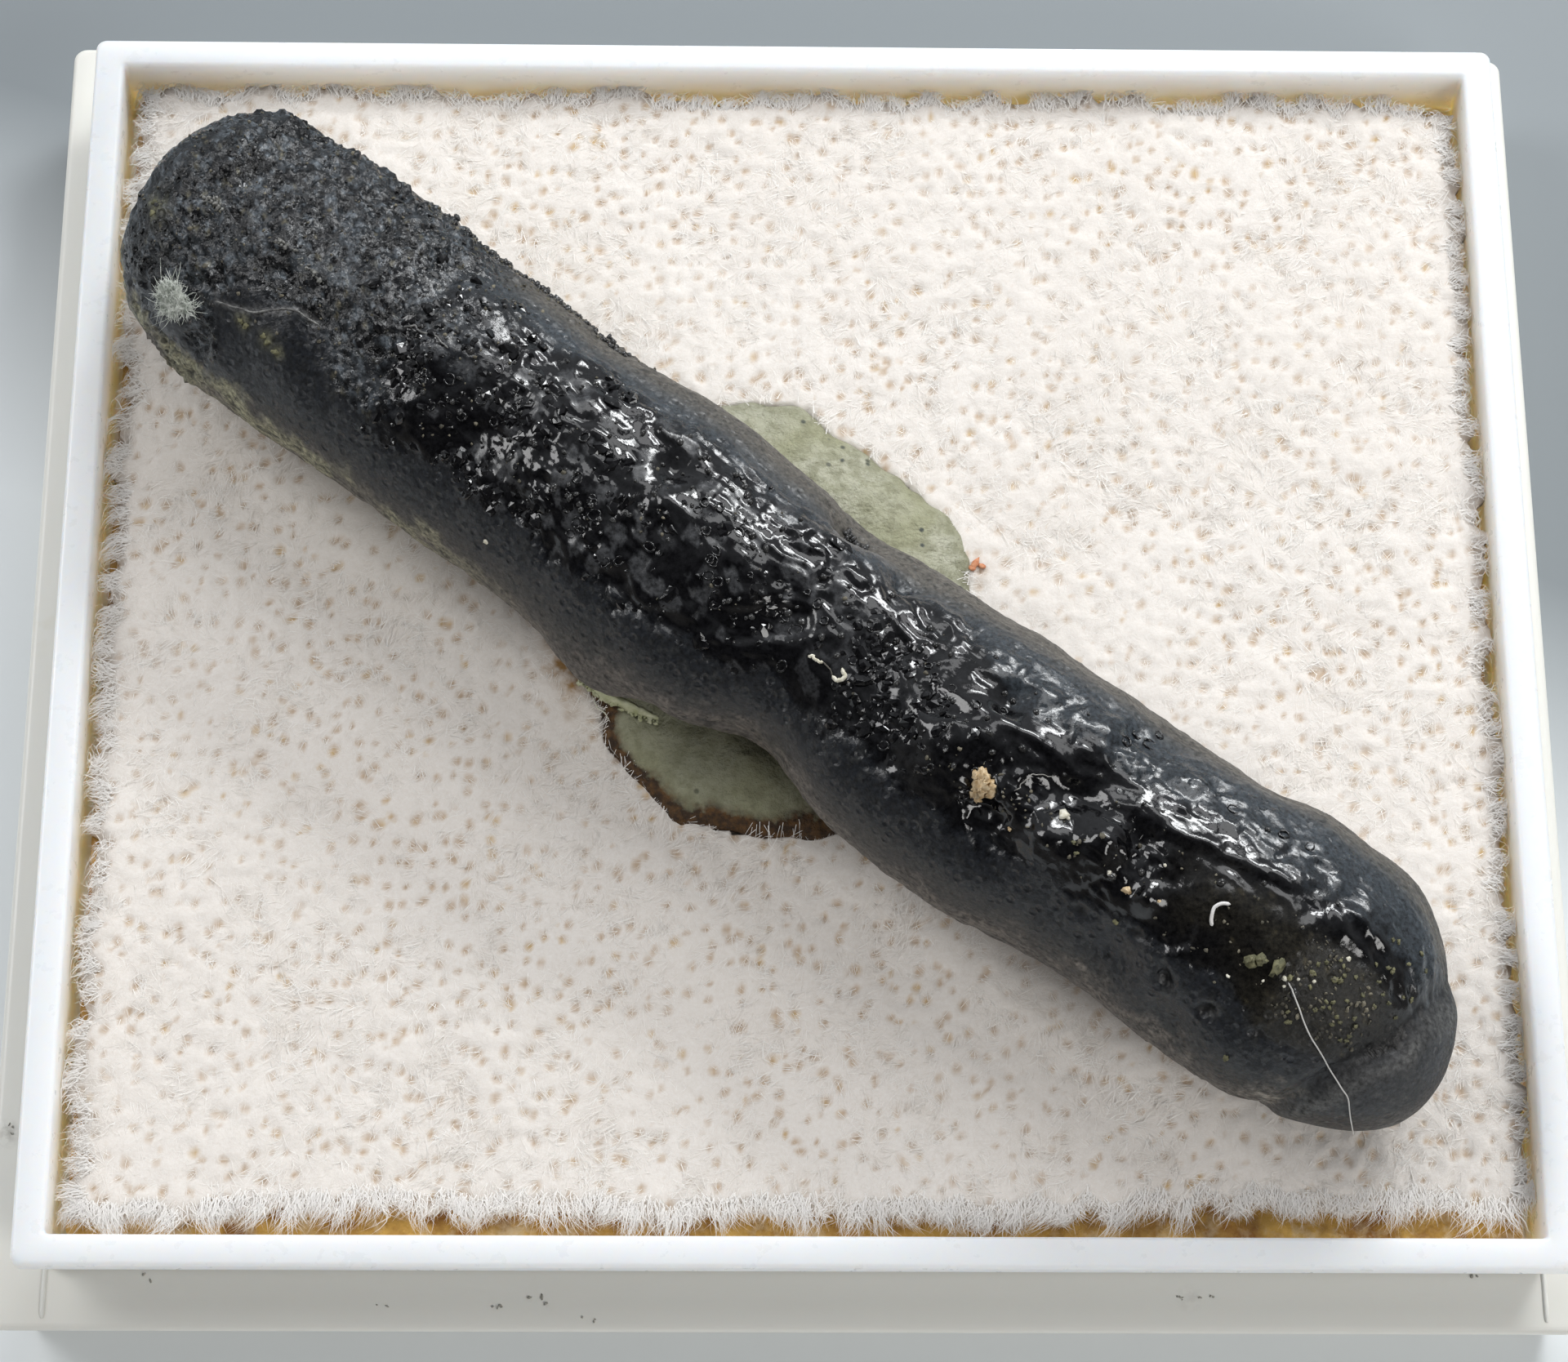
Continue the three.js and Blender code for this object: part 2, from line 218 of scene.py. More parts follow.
def build(name, points, face_sets, material, attributes=None, smooth=True):
    """A mesh object from points in millimetres and arrays of faces, riding on the root body."""
    mesh = bpy.data.meshes.new(name)
    points = np.asarray(points, float).reshape(-1, 3) * MM
    corners = np.concatenate([np.asarray(f, np.int32).ravel() for f in face_sets])
    sizes = np.concatenate([np.full(len(f), np.shape(f)[1], np.int32) for f in face_sets])
    starts = np.concatenate(([0], np.cumsum(sizes)[:-1])).astype(np.int32)
    mesh.vertices.add(len(points))
    mesh.vertices.foreach_set("co", points.astype(np.float32).ravel())
    mesh.loops.add(len(corners))
    mesh.loops.foreach_set("vertex_index", corners)
    mesh.polygons.add(len(sizes))
    mesh.polygons.foreach_set("loop_start", starts)
    mesh.polygons.foreach_set("use_smooth", np.full(len(sizes), smooth))
    mesh.update(calc_edges=True)
    for key, values in (attributes or {}).items():
        values = np.asarray(values, np.float32)
        if values.ndim > 1:
            layer = mesh.attributes.new(key, "FLOAT_COLOR", "POINT")
            full = np.ones((len(points), 4), np.float32)
            full[:, :3] = values.reshape(-1, 3)
            layer.data.foreach_set("color", full.ravel())
        else:
            layer = mesh.attributes.new(key, "FLOAT", "POINT")
            layer.data.foreach_set("value", values)
    mesh.materials.append(material)
    piece = bpy.data.objects.new(name, mesh)
    bpy.context.scene.collection.objects.link(piece)
    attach(piece, "root")
    return piece


def grid_faces(rows, columns, wrap=False):
    """Quads over a rows by columns array of points, closed round the columns where wrap is true."""
    across = columns if wrap else columns - 1
    i, j = np.meshgrid(np.arange(rows - 1), np.arange(across), indexing="ij")
    k = (j + 1) % columns
    quads = (i * columns + j, i * columns + k, (i + 1) * columns + k, (i + 1) * columns + j)
    return np.stack(quads, -1).reshape(-1, 4)


def grid_normals(points):
    """Unit normals of a grid of points that is closed round the columns."""
    down = np.gradient(points, axis=0)
    across = np.roll(points, -1, 1) - np.roll(points, 1, 1)
    normal = np.cross(across, down)
    return normal / np.maximum(np.linalg.norm(normal, axis=-1, keepdims=True), 1e-12)


def sideways(normal, reference=(0.57, 0.82, 0.0)):
    """Two unit directions across a normal and across each other."""
    side = np.cross(normal, reference)
    side /= np.linalg.norm(side, axis=-1, keepdims=True)
    return side, np.cross(normal, side)


def along_line(line, share):
    """Points at shares of the way through a line's points, each step between points counted the same."""
    line = np.asarray(line, float)
    knots = np.linspace(0, 1, len(line))
    return np.stack([np.interp(share, knots, values) for values in line.T], -1)


def fan(tip, start, sides, reverse=False):
    """Triangles that join a tip to a ring of points whose numbers begin at start."""
    here = start + np.arange(sides)
    following = start + (np.arange(sides) + 1) % sides
    pair = (here, following) if reverse else (following, here)
    return np.stack((np.full(sides, tip), *pair), -1)


def ringed(rings):
    """A closed solid from rings of the same count of points, capped at both ends."""
    count = len(rings[0])
    points = np.concatenate(rings)
    quads = grid_faces(len(rings), count, wrap=True)
    first = np.arange(count)[::-1].reshape(1, -1)
    last = (np.arange(count) + (len(rings) - 1) * count).reshape(1, -1)
    return points, [quads, first, last]


def quarter_turn(radius):
    """Over a rounded edge's quarter turn: a distance that grows from 0 and one that shrinks to 0."""
    for k in range(EDGE_STEPS):
        angle = math.radians(90 * k / (EDGE_STEPS - 1))
        yield radius * (1 - math.cos(angle)), radius * (1 - math.sin(angle))


def rounded_ring(half_x, half_y, corner, z, centre_x=0.0):
    """Points round a rectangle with rounded corners at height z, anticlockwise."""
    points = []
    for turn, (sx, sy) in enumerate(((1, -1), (1, 1), (-1, 1), (-1, -1))):
        for k in range(CORNER_STEPS):
            angle = math.radians(-90 + 90 * turn + 90 * k / (CORNER_STEPS - 1))
            x = centre_x + sx * (half_x - corner) + corner * math.cos(angle)
            y = sy * (half_y - corner) + corner * math.sin(angle)
            points.append((x, y, z))
    return np.array(points)


def ribbons(paths, widths, twist=None):
    """Thin flat tapering strips along paths of shape (strips, places, 3), each ending in a point."""
    strips, places, _ = paths.shape
    along = np.gradient(paths, axis=1)
    side = np.cross(along, (0.0, 0.0, 1.0))
    side /= np.maximum(np.linalg.norm(side, axis=-1, keepdims=True), 1e-9)
    if twist is not None:
        lift = np.cross(side, along / np.linalg.norm(along, axis=-1, keepdims=True))
        turn = twist[:, None, None]
        side = side * np.cos(turn) + lift * np.sin(turn)
    taper = np.linspace(1, 0.45, places - 1)[None, :, None]
    half = np.asarray(widths)[:, None, None] / 2 * taper
    left = paths[:, :-1] - side[:, :-1] * half
    right = paths[:, :-1] + side[:, :-1] * half
    body = np.stack((left, right), 2).reshape(strips, -1, 3)
    points = np.concatenate((body, paths[:, -1:]), 1)
    stride = points.shape[1]
    start = np.arange(strips)[:, None] * stride
    step = 2 * np.arange(places - 2)[None, :]
    quads = np.stack([start + step, start + step + 1, start + step + 3, start + step + 2], -1)
    end = 2 * (places - 2)
    tips = np.stack([start[:, 0] + end, start[:, 0] + end + 1, start[:, 0] + end + 2], -1)
    return points.reshape(-1, 3), [quads.reshape(-1, 4), tips]


def tubes(paths, radius, sides):
    """Thin round strands along paths of shape (strands, places, 3), tapered to a point at each end."""
    strands, places, _ = paths.shape
    along = np.gradient(paths, axis=1)
    along /= np.maximum(np.linalg.norm(along, axis=-1, keepdims=True), 1e-9)
    reference = np.where(np.abs(along[..., 2:]) > 0.9, (1.0, 0, 0), (0, 0, 1.0))
    side = np.cross(along, reference)
    side /= np.linalg.norm(side, axis=-1, keepdims=True)
    lift = np.cross(along, side)
    taper = np.full(places, 1.0)
    taper[0] = taper[-1] = 0.25
    angles = 2 * math.pi * np.arange(sides) / sides
    reach = np.asarray(radius).reshape(-1, 1, 1, 1) * taper[None, :, None, None]
    wave = side[:, :, None] * np.cos(angles)[:, None] + lift[:, :, None] * np.sin(angles)[:, None]
    points = (paths[:, :, None] + reach * wave).reshape(-1, 3)
    one = grid_faces(places, sides, wrap=True)
    stride = places * sides
    start = (np.arange(strands) * stride)[:, None, None]
    quads = (start + one[None]).reshape(-1, 4)
    cap = np.arange(sides)
    caps = np.concatenate((cap[::-1][None], cap[None] + (places - 1) * sides))
    ends = (start + caps[None]).reshape(-1, sides)
    return points, [quads, ends]


def lumps(places, radii, seed, roughness=0.35, rings=5, sides=8, normals=None):
    """Many small irregular closed lumps in one set of points and faces, upright or turned to normals."""
    rng = np.random.default_rng(seed)
    count = len(places)
    lat = np.linspace(0, math.pi, rings + 2)[1:-1, None]
    lon = 2 * math.pi * np.arange(sides) / sides
    ring = (np.sin(lat) * np.cos(lon), np.sin(lat) * np.sin(lon), np.repeat(np.cos(lat), sides, 1))
    unit = np.concatenate(([[0, 0, 1.0]], np.stack(ring, -1).reshape(-1, 3), [[0, 0, -1.0]]))
    stride = len(unit)
    bumps = 1 + roughness * rng.uniform(-1, 1, (count, stride))
    shape = unit[None] * bumps[..., None] * np.asarray(radii).reshape(count, -1)[:, None, :]
    turn = rng.uniform(0, 2 * math.pi, count)
    cos, sin = np.cos(turn)[:, None], np.sin(turn)[:, None]
    x = shape[..., 0] * cos - shape[..., 1] * sin
    y = shape[..., 0] * sin + shape[..., 1] * cos
    points = np.stack((x, y, shape[..., 2]), -1)
    if normals is not None:
        side, other = sideways(normals)
        flat = points[..., :1] * side[:, None] + points[..., 1:2] * other[:, None]
        points = flat + points[..., 2:] * normals[:, None]
    points = points + np.asarray(places)[:, None, :]
    quads = grid_faces(rings, sides, wrap=True) + 1
    top = fan(0, 1, sides)
    bottom = fan(stride - 1, 1 + (rings - 1) * sides, sides, reverse=True)
    start = (np.arange(count) * stride)[:, None, None]
    quads = (start + quads[:, ::-1][None]).reshape(-1, 4)
    ends = np.concatenate(((start + top[:, ::-1][None]), (start + bottom[:, ::-1][None])), 1)
    return points.reshape(-1, 3), [quads, ends.reshape(-1, 3)]


def grains(name, places, sizes, seed, material, roughness=0.35, rings=5, sides=8):
    """One piece made of small irregular lumps."""
    points, faces = lumps(np.array(places), np.array(sizes), seed, roughness, rings, sides)
    return build(name, points, faces, material)


def strands(name, paths, radius, sides, material):
    """One piece made of thin round strands."""
    points, faces = tubes(np.array(paths), radius, sides)
    return build(name, points, faces, material)


# ---- materials ----


def add(tree, kind, inputs=None, **settings):
    """A shader node with its settings made and its inputs set or linked."""
    made = tree.nodes.new(kind)
    for key, value in settings.items():
        setattr(made, key, value)
    for key, value in (inputs or {}).items():
        if isinstance(value, bpy.types.NodeSocket):
            tree.links.new(value, made.inputs[key])
        else:
            made.inputs[key].default_value = value
    return made


def start_material(name, **values):
    """A material, its node tree, its shader and the object coordinates in metres."""
    material = bpy.data.materials.new(name)
    material.use_nodes = True
    tree = material.node_tree
    shader = tree.nodes["Principled BSDF"]
    for key, value in values.items():
        shader.inputs[key.replace("_", " ")].default_value = value
    place = add(tree, "ShaderNodeTexCoord").outputs["Object"]
    return material, tree, shader, place


def noise_tex(tree, place, size_mm, detail=3.0, roughness=0.55):
    """Noise with features of about that size, from 0 to 1."""
    inputs = {"Vector": place, "Scale": 1000 / size_mm, "Detail": detail, "Roughness": roughness}
    return add(tree, "ShaderNodeTexNoise", inputs).outputs["Fac"]


def spread(tree, value, low, high, out_low=0.0, out_high=1.0):
    """The value's range from low to high, mapped and clamped."""
    inputs = {"Value": value, "From Min": low, "From Max": high, "To Min": out_low, "To Max": out_high}
    return add(tree, "ShaderNodeMapRange", inputs).outputs["Result"]


def clouds(tree, place, size_mm, low, high, out_low=0.0, out_high=1.0, detail=3.0, roughness=0.55):
    """Noise of that size, with its range from low to high mapped and clamped."""
    return spread(tree, noise_tex(tree, place, size_mm, detail, roughness), low, high, out_low, out_high)


def maths(tree, operation, first, second=0.0):
    """A number from one or two numbers."""
    return add(tree, "ShaderNodeMath", {0: first, 1: second}, operation=operation).outputs[0]


def vectors(tree, operation, first, second=None):
    """A vector from one or two vectors, or from a vector and the number that scales it."""
    inputs = {0: first}
    if second is not None:
        inputs["Scale" if operation == "SCALE" else 1] = second
    return add(tree, "ShaderNodeVectorMath", inputs, operation=operation).outputs[0]


def mixed(tree, share, first, second):
    """Two colours mixed by a share."""
    colours = [c if isinstance(c, bpy.types.NodeSocket) else (*c, 1) for c in (first, second)]
    inputs = {"Factor": share, 6: colours[0], 7: colours[1]}
    return add(tree, "ShaderNodeMix", inputs, data_type="RGBA").outputs[2]


def bump(tree, height, strength, distance_mm, normal=None):
    """A normal tilted by a height, over another normal where one is given."""
    inputs = {"Height": height, "Strength": strength, "Distance": distance_mm * MM}
    if normal is not None:
        inputs["Normal"] = normal
    return add(tree, "ShaderNodeBump", inputs).outputs["Normal"]


def stored(tree, name, output="Fac"):
    """A value stored on the mesh's points."""
    return add(tree, "ShaderNodeAttribute", attribute_name=name).outputs[output]


def drive(tree, shader, **sockets):
    """Links values to the shader's inputs, whose names are written with _ for a space."""
    for key, value in sockets.items():
        tree.links.new(value, shader.inputs[key.replace("_", " ")])


def plain_material(name, low, high, size_mm, roughness):
    """Two tones clouded at that size, with a faint bump at half of it."""
    material, tree, shader, place = start_material(name, Roughness=roughness)
    tone = mixed(tree, clouds(tree, place, size_mm, 0.35, 0.65, detail=4), low, high)
    drive(tree, shader, Base_Color=tone, Normal=bump(tree, noise_tex(tree, place, size_mm / 2, 3), 0.4, 0.03))
    return material


# ---- bitumen ----

BODY_ROWS = 440
LEFT_ROWS_SHARE = 0.09
RIGHT_ROWS_SHARE = 0.11
SHOWN_SIDES = 165
HIDDEN_SIDES = 55
SHOWN_FROM = -12.0
SHOWN_TO = 206.0


def cubic(a, b, c, d, t):
    """A smooth curve from b to c that heads as its neighbours a and d say."""
    return b + 0.5 * t * (c - a + t * (2 * a - 5 * b + 4 * c - d + t * (3 * (b - c) + d - a)))


def station_at(along):
    """Far edge, near edge, crown and belly at places along the axis."""
    table = np.array(STATIONS)
    last = len(table) - 1
    i = np.clip(np.searchsorted(table[:, 0], along, side="right") - 1, 0, last - 1)
    t = np.clip((along - table[i, 0]) / (table[i + 1, 0] - table[i, 0]), 0, 1)[..., None]
    row = [table[np.clip(i + step, 0, last)] for step in (-1, 0, 1, 2)]
    return np.moveaxis(cubic(*row, t)[..., 1:], -1, 0)


def large_relief(along, angle, reach):
    """The CAD's lumps, local forms and the fold at the right end."""
    across = reach * np.cos(angle)
    up = reach * np.sin(angle)
    lump = lattice_noise(along / LUMP_SIZE, across / LUMP_SIZE, up / LUMP_SIZE)
    swell = lattice_noise(along / SWELL_SIZE + 9, across / SWELL_SIZE, up / SWELL_SIZE)
    crown_share = 0.35 + 0.65 * np.maximum(0, np.sin(angle + 0.25))
    rise = LUMP_RISE * lump * crown_share + SWELL_RISE * swell
    for at, turned, radius, height in FORMS:
        rise = rise + height * spot(along, angle, reach, at, turned, radius)
    start, end = math.radians(CREASE_START[1]), math.radians(CREASE_END[1])
    way = (angle - start) / (end - start)
    crease_at = CREASE_START[0] + (CREASE_END[0] - CREASE_START[0]) * way * way
    off = (along - crease_at) / CREASE_WIDTH
    fade = np.minimum(1, np.minimum(1.1 - way, way + 0.2))
    inside = (way > -0.15) & (way < 1.1)
    return rise - np.where(inside, CREASE_DEPTH * np.exp(-off * off) * fade, 0)


def spot(along, angle, reach, at, turned, radius):
    """1 at a place on the surface, falling off smoothly within about that radius."""
    turn = np.abs(angle - math.radians(turned)) % (2 * math.pi)
    round_it = reach * np.minimum(turn, 2 * math.pi - turn)
    return np.exp(-((along - at) ** 2 + round_it**2) / radius**2)


def end_rounding(along):
    """The share of the full girth at places along the axis, 0 at both ends."""
    left = np.clip((along - LEFT_END) / LEFT_CAP, 0, 1)
    right = np.clip((RIGHT_END - along) / RIGHT_CAP, 0, 1)
    left = (1 - (1 - left) ** LEFT_SQUARENESS) ** (1 / LEFT_SQUARENESS)
    right = (1 - (1 - right) ** RIGHT_SQUARENESS) ** (1 / RIGHT_SQUARENESS)
    return left * right


def body_rows():
    """Places of the rows along the axis, closer together at the two ends."""
    share = np.linspace(0, 1, BODY_ROWS)
    left = LEFT_END + LEFT_CAP * (1 - np.cos(share / LEFT_ROWS_SHARE * math.pi / 2))
    right = RIGHT_END - RIGHT_CAP * (1 - np.cos((1 - share) / RIGHT_ROWS_SHARE * math.pi / 2))
    t = (share - LEFT_ROWS_SHARE) / (1 - LEFT_ROWS_SHARE - RIGHT_ROWS_SHARE)
    middle = (LEFT_END + LEFT_CAP) * (1 - t) + (RIGHT_END - RIGHT_CAP) * t
    rows = np.where(share < LEFT_ROWS_SHARE, left, middle)
    return np.where(share > 1 - RIGHT_ROWS_SHARE, right, rows)


def body_angles():
    """Angles round the axis, closer together on the side that shows."""
    shown = np.linspace(SHOWN_FROM, SHOWN_TO, SHOWN_SIDES, endpoint=False)
    hidden = np.linspace(SHOWN_TO, 360 + SHOWN_FROM, HIDDEN_SIDES, endpoint=False)
    return np.radians(np.concatenate((shown, hidden)))


def body_large():
    """The bitumen's large form as a grid of points, with its coordinates along and round it."""
    along, angle = np.meshgrid(body_rows(), body_angles(), indexing="ij")
    far, near, crown, belly = station_at(along)
    half = (far - near) / 2 / SIDE_LEAN
    tall = (crown - belly) / 2
    share = end_rounding(along)
    reach = (half + tall) / 2
    relief = large_relief(along, angle % (2 * math.pi), reach) * share
    across = (far + near) / 2 + np.cos(angle) * (half * share + relief)
    up = (crown + belly) / 2 + np.sin(angle) * (tall * share + relief)
    slant = LEFT_SLANT * np.maximum(0, 1 - (along - LEFT_END) / (2 * LEFT_CAP))
    slanted = along + slant * share * np.cos(angle)
    cos, sin = math.cos(AXIS_TURN), math.sin(AXIS_TURN)
    x = AXIS_ORIGIN[0] + slanted * cos - across * sin
    y = AXIS_ORIGIN[1] + slanted * sin + across * cos
    return along, angle, reach, np.stack((x, y, up), -1)


# Features seen on the surface: place along the axis, angle round it, radius and rise
PITS = (
    (1.43, 39, 0.5, -0.4), (3.5, 51, 0.5, -0.3), (-3.4, 76, 0.55, -0.4), (7.95, 75, 0.62, -0.42),
    (10.7, 94, 1.1, -0.5), (9.0, 121, 0.6, -0.25), (12.9, 100, 0.6, -0.3),
    (15.44, 142.5, 0.22, -0.3), (15.3, 139, 0.16, -0.14), (15.62, 145, 0.15, -0.12),
    (16.88, 142.5, 0.2, -0.24), (16.7, 145, 0.16, -0.12), (14.2, 133, 0.2, -0.14),
    (18.3, 139, 0.15, -0.1), (12.6, 139, 0.16, -0.1), (-0.4, 115, 0.6, -0.2),
    (11.2, 55, 0.42, -0.2), (10.2, 50, 0.4, -0.16), (13.9, 57, 0.3, -0.14), (-8.4, 112, 0.7, -0.22),
    (-11.8, 112, 0.8, -0.22), (19.7, 103, 0.3, -0.05),
)
KNOBS = (
    (12.2, 108, 0.64, 0.48), (14.0, 118, 0.5, 0.4), (13.2, 124, 0.4, 0.16), (5.4, 97, 0.6, 0.14),
    (6.5, 104, 0.7, 0.16), (9.2, 112, 0.55, 0.32), (10.9, 118, 0.55, 0.3), (8.2, 92, 0.55, 0.12),
    (15.6, 100, 0.4, 0.08), (19.0, 76, 0.55, 0.2), (17.7, 113, 0.45, 0.05),
    (-0.75, 121, 0.35, 0.12), (-2.6, 200, 1.6, 0.6), (-5.2, 105, 0.4, 0.1), (-10.9, 98, 0.5, 0.16),
    (-13.6, 84, 0.6, 0.14), (-16.5, 96, 0.6, 0.16),
)
# Smooth glossy places among the rough ones: place, angle, radius
SMOOTH_SPOTS = (
    (7.95, 76, 0.8), (12.1, 108, 0.75), (14.0, 118.5, 0.6), (-3.4, 76, 0.5), (5.4, 97, 0.5),
    (3.0, 122, 1.0), (-1.5, 108, 0.7),
)
# A sharp-edged ledge over the hollow, a thin ridge whose highlight is painted pale, edges of the crust, and
# the crack at the left end: place and angle of each point
LEDGE = (
    (4.5, 88), (7, 87), (9.4, 86.5), (10.7, 88.5), (11.8, 90),
    (12.7, 89), (13.7, 88.5), (14.7, 86), (16.7, 81), (18.2, 78),
)
RIDGE = ((-12.05, 95), (-11.75, 92.5), (-11.5, 94), (-11.1, 91.5), (-10.6, 92))
CRUST_EDGES = (
    ((-19.1, 100.5), (-18.8, 98), (-18.5, 99)),
    ((-16.5, 96), (-16.2, 97.5), (-15.8, 97), (-15.3, 99), (-14.8, 100.5)),
)
CRACK = ((-17.1, 131), (-16.35, 128), (-15.7, 123.5), (-15.2, 117.5), (-14.8, 114.5), (-14.1, 114.5))
# The ledge's shape: its turn and lean in degrees, its width and fall, and the hollow under it
CREST_TURN = 73
CREST_LEAN = (2, 16)
CREST_WIDTH = 0.95
CREST_FALL = 0.9
HOLLOW_DEPTH = 0.12
HOLLOW_START = 0.22
HOLLOW_WIDTH = 0.8
# Broken places in the smooth surface, and pale olive spots at the left end: place, angle, radius
RAGGED_SPOTS = ((1.43, 39, 0.42), (3.5, 51, 0.45), (12.6, 110, 1.3), (9, 114, 1.3))
OLIVE_SPOTS = ((-16.15, 131.5, 0.22), (-15.2, 131.5, 0.2), (-14.7, 133, 0.15), (-20.3, 118, 0.4))
# Colours of the bitumen
BLACK = np.array((0.0035, 0.0035, 0.004))
SLATE = np.array((0.007, 0.0085, 0.011))
SATIN = np.array((0.018, 0.022, 0.026))
GREY = np.array((0.026, 0.03, 0.034))
OLIVE = np.array((0.15, 0.145, 0.1))
BROWN = np.array((0.108, 0.096, 0.084))
UMBER = np.array((0.017, 0.015, 0.01))


def line_distance(along, angle, reach, line):
    """Distance over the surface to a line through points, and which side of it a point is on."""
    around = reach * angle
    nearest = np.full(along.shape, FAR_AWAY)
    side = np.zeros_like(along)
    for (along_a, angle_a), (along_b, angle_b) in zip(line[:-1], line[1:]):
        start, end = reach * math.radians(angle_a), reach * math.radians(angle_b)
        dx, dy = along_b - along_a, end - start
        t = np.clip(((along - along_a) * dx + (around - start) * dy) / (dx * dx + dy * dy), 0, 1)
        gap_x, gap_y = along - along_a - t * dx, around - start - t * dy
        far = np.hypot(gap_x, gap_y)
        side = np.where(far < nearest, np.sign(dx * gap_y - dy * gap_x), side)
        nearest = np.minimum(nearest, far)
    return nearest, side


# Where the rough upper part at the right end stands over the smooth lower lobe
LOBE_LINE = (
    (21.75, 5), (21.8, 40), (21.6, 70), (21.4, 94), (21.45, 106), (21.0, 123), (20.6, 138),
    (20.15, 157), (19.6, 180), (19.2, 200),
)


# The kinds of surface that relief and colour are laid on
SURFACES = ("pebbly", "granular", "dusty", "upper", "flank", "lobe", "under", "calm")


def body_masks(along, angle, reach, points):
    """Where the surface is granular, pebbly, smooth or dusty, each from 0 to 1."""
    degrees = np.degrees(angle)
    wander = 8 * noise(points, 1.6, 3) + 5 * noise(points, 0.5, 4) + 3 * noise(points, 0.22, 8)
    turned = degrees + wander
    place = along + 1.2 * noise(points, 1.5, 5) + 0.5 * noise(points, 0.5, 6)
    far, side = line_distance(along + 0.12 * noise(points, 0.6, 9), angle, reach, LOBE_LINE)
    lobe = ramp(-far * side, -0.04, 0.08) * ramp(along, 17.5, 18.5)
    step = ramp(along, -17.6, -16.4) * ramp(-along, 12.6, 14)
    turned_there = turned - 0.6 * step * wander + 19 * step
    flank = ramp(turned_there, 128, 138) * ramp(place, -18.6, -17.2)
    granular = ramp(-place, 9.5, 14) * (1 - flank)
    calm = sum(spot(along, angle, reach, *where) for where in SMOOTH_SPOTS)
    satin_edge = turned - 15 * ramp(along, 4.5, 8.5)
    pebbly = ramp(satin_edge, 48, 64) * (1 - flank) * (1 - granular) * (1 - lobe)
    upper = (1 - ramp(satin_edge, 50, 64)) * (1 - granular) * (1 - lobe)
    return {
        "flank": flank,
        "granular": granular,
        "pebbly": pebbly,
        "upper": upper,
        "under": ramp(turned + 6 * noise(points, 0.35, 10), 163, 175) * (1 - lobe),
        "dusty": ramp(place, 14, 18) * ramp(turned, 84, 100) * (1 - flank) * (1 - lobe),
        "lobe": lobe,
        "calm": np.clip(1.5 * calm, 0, 1),
        "lobe_ridge_highlight": bell(far - 0.42, 0.26) * ramp(along, 18.5, 19.5),
        "crease_shade": bell(far, 0.5) * (side > 0) * ramp(along, 18, 19.5),
    }


def crest_rise(along, far, side):
    """The ledge: its upper face leans back to one slope, and its lower face falls into a hollow."""
    places, turns = np.array(LEDGE).T
    lean = np.radians(np.clip(np.interp(along, places, turns) - CREST_TURN, *CREST_LEAN))
    top = CREST_WIDTH / 2 * np.tan(lean)
    upper = top * np.clip(1 - far / CREST_WIDTH, 0, 1) ** 2
    hollow = HOLLOW_DEPTH * (1 - bell(far, HOLLOW_START)) * bell(far, HOLLOW_WIDTH)
    lower = top * bell(far, CREST_FALL) - hollow
    return ramp(along, 4.8, 7) * ramp(-along, -18.4, -15.5) * np.where(side > 0, lower, upper)


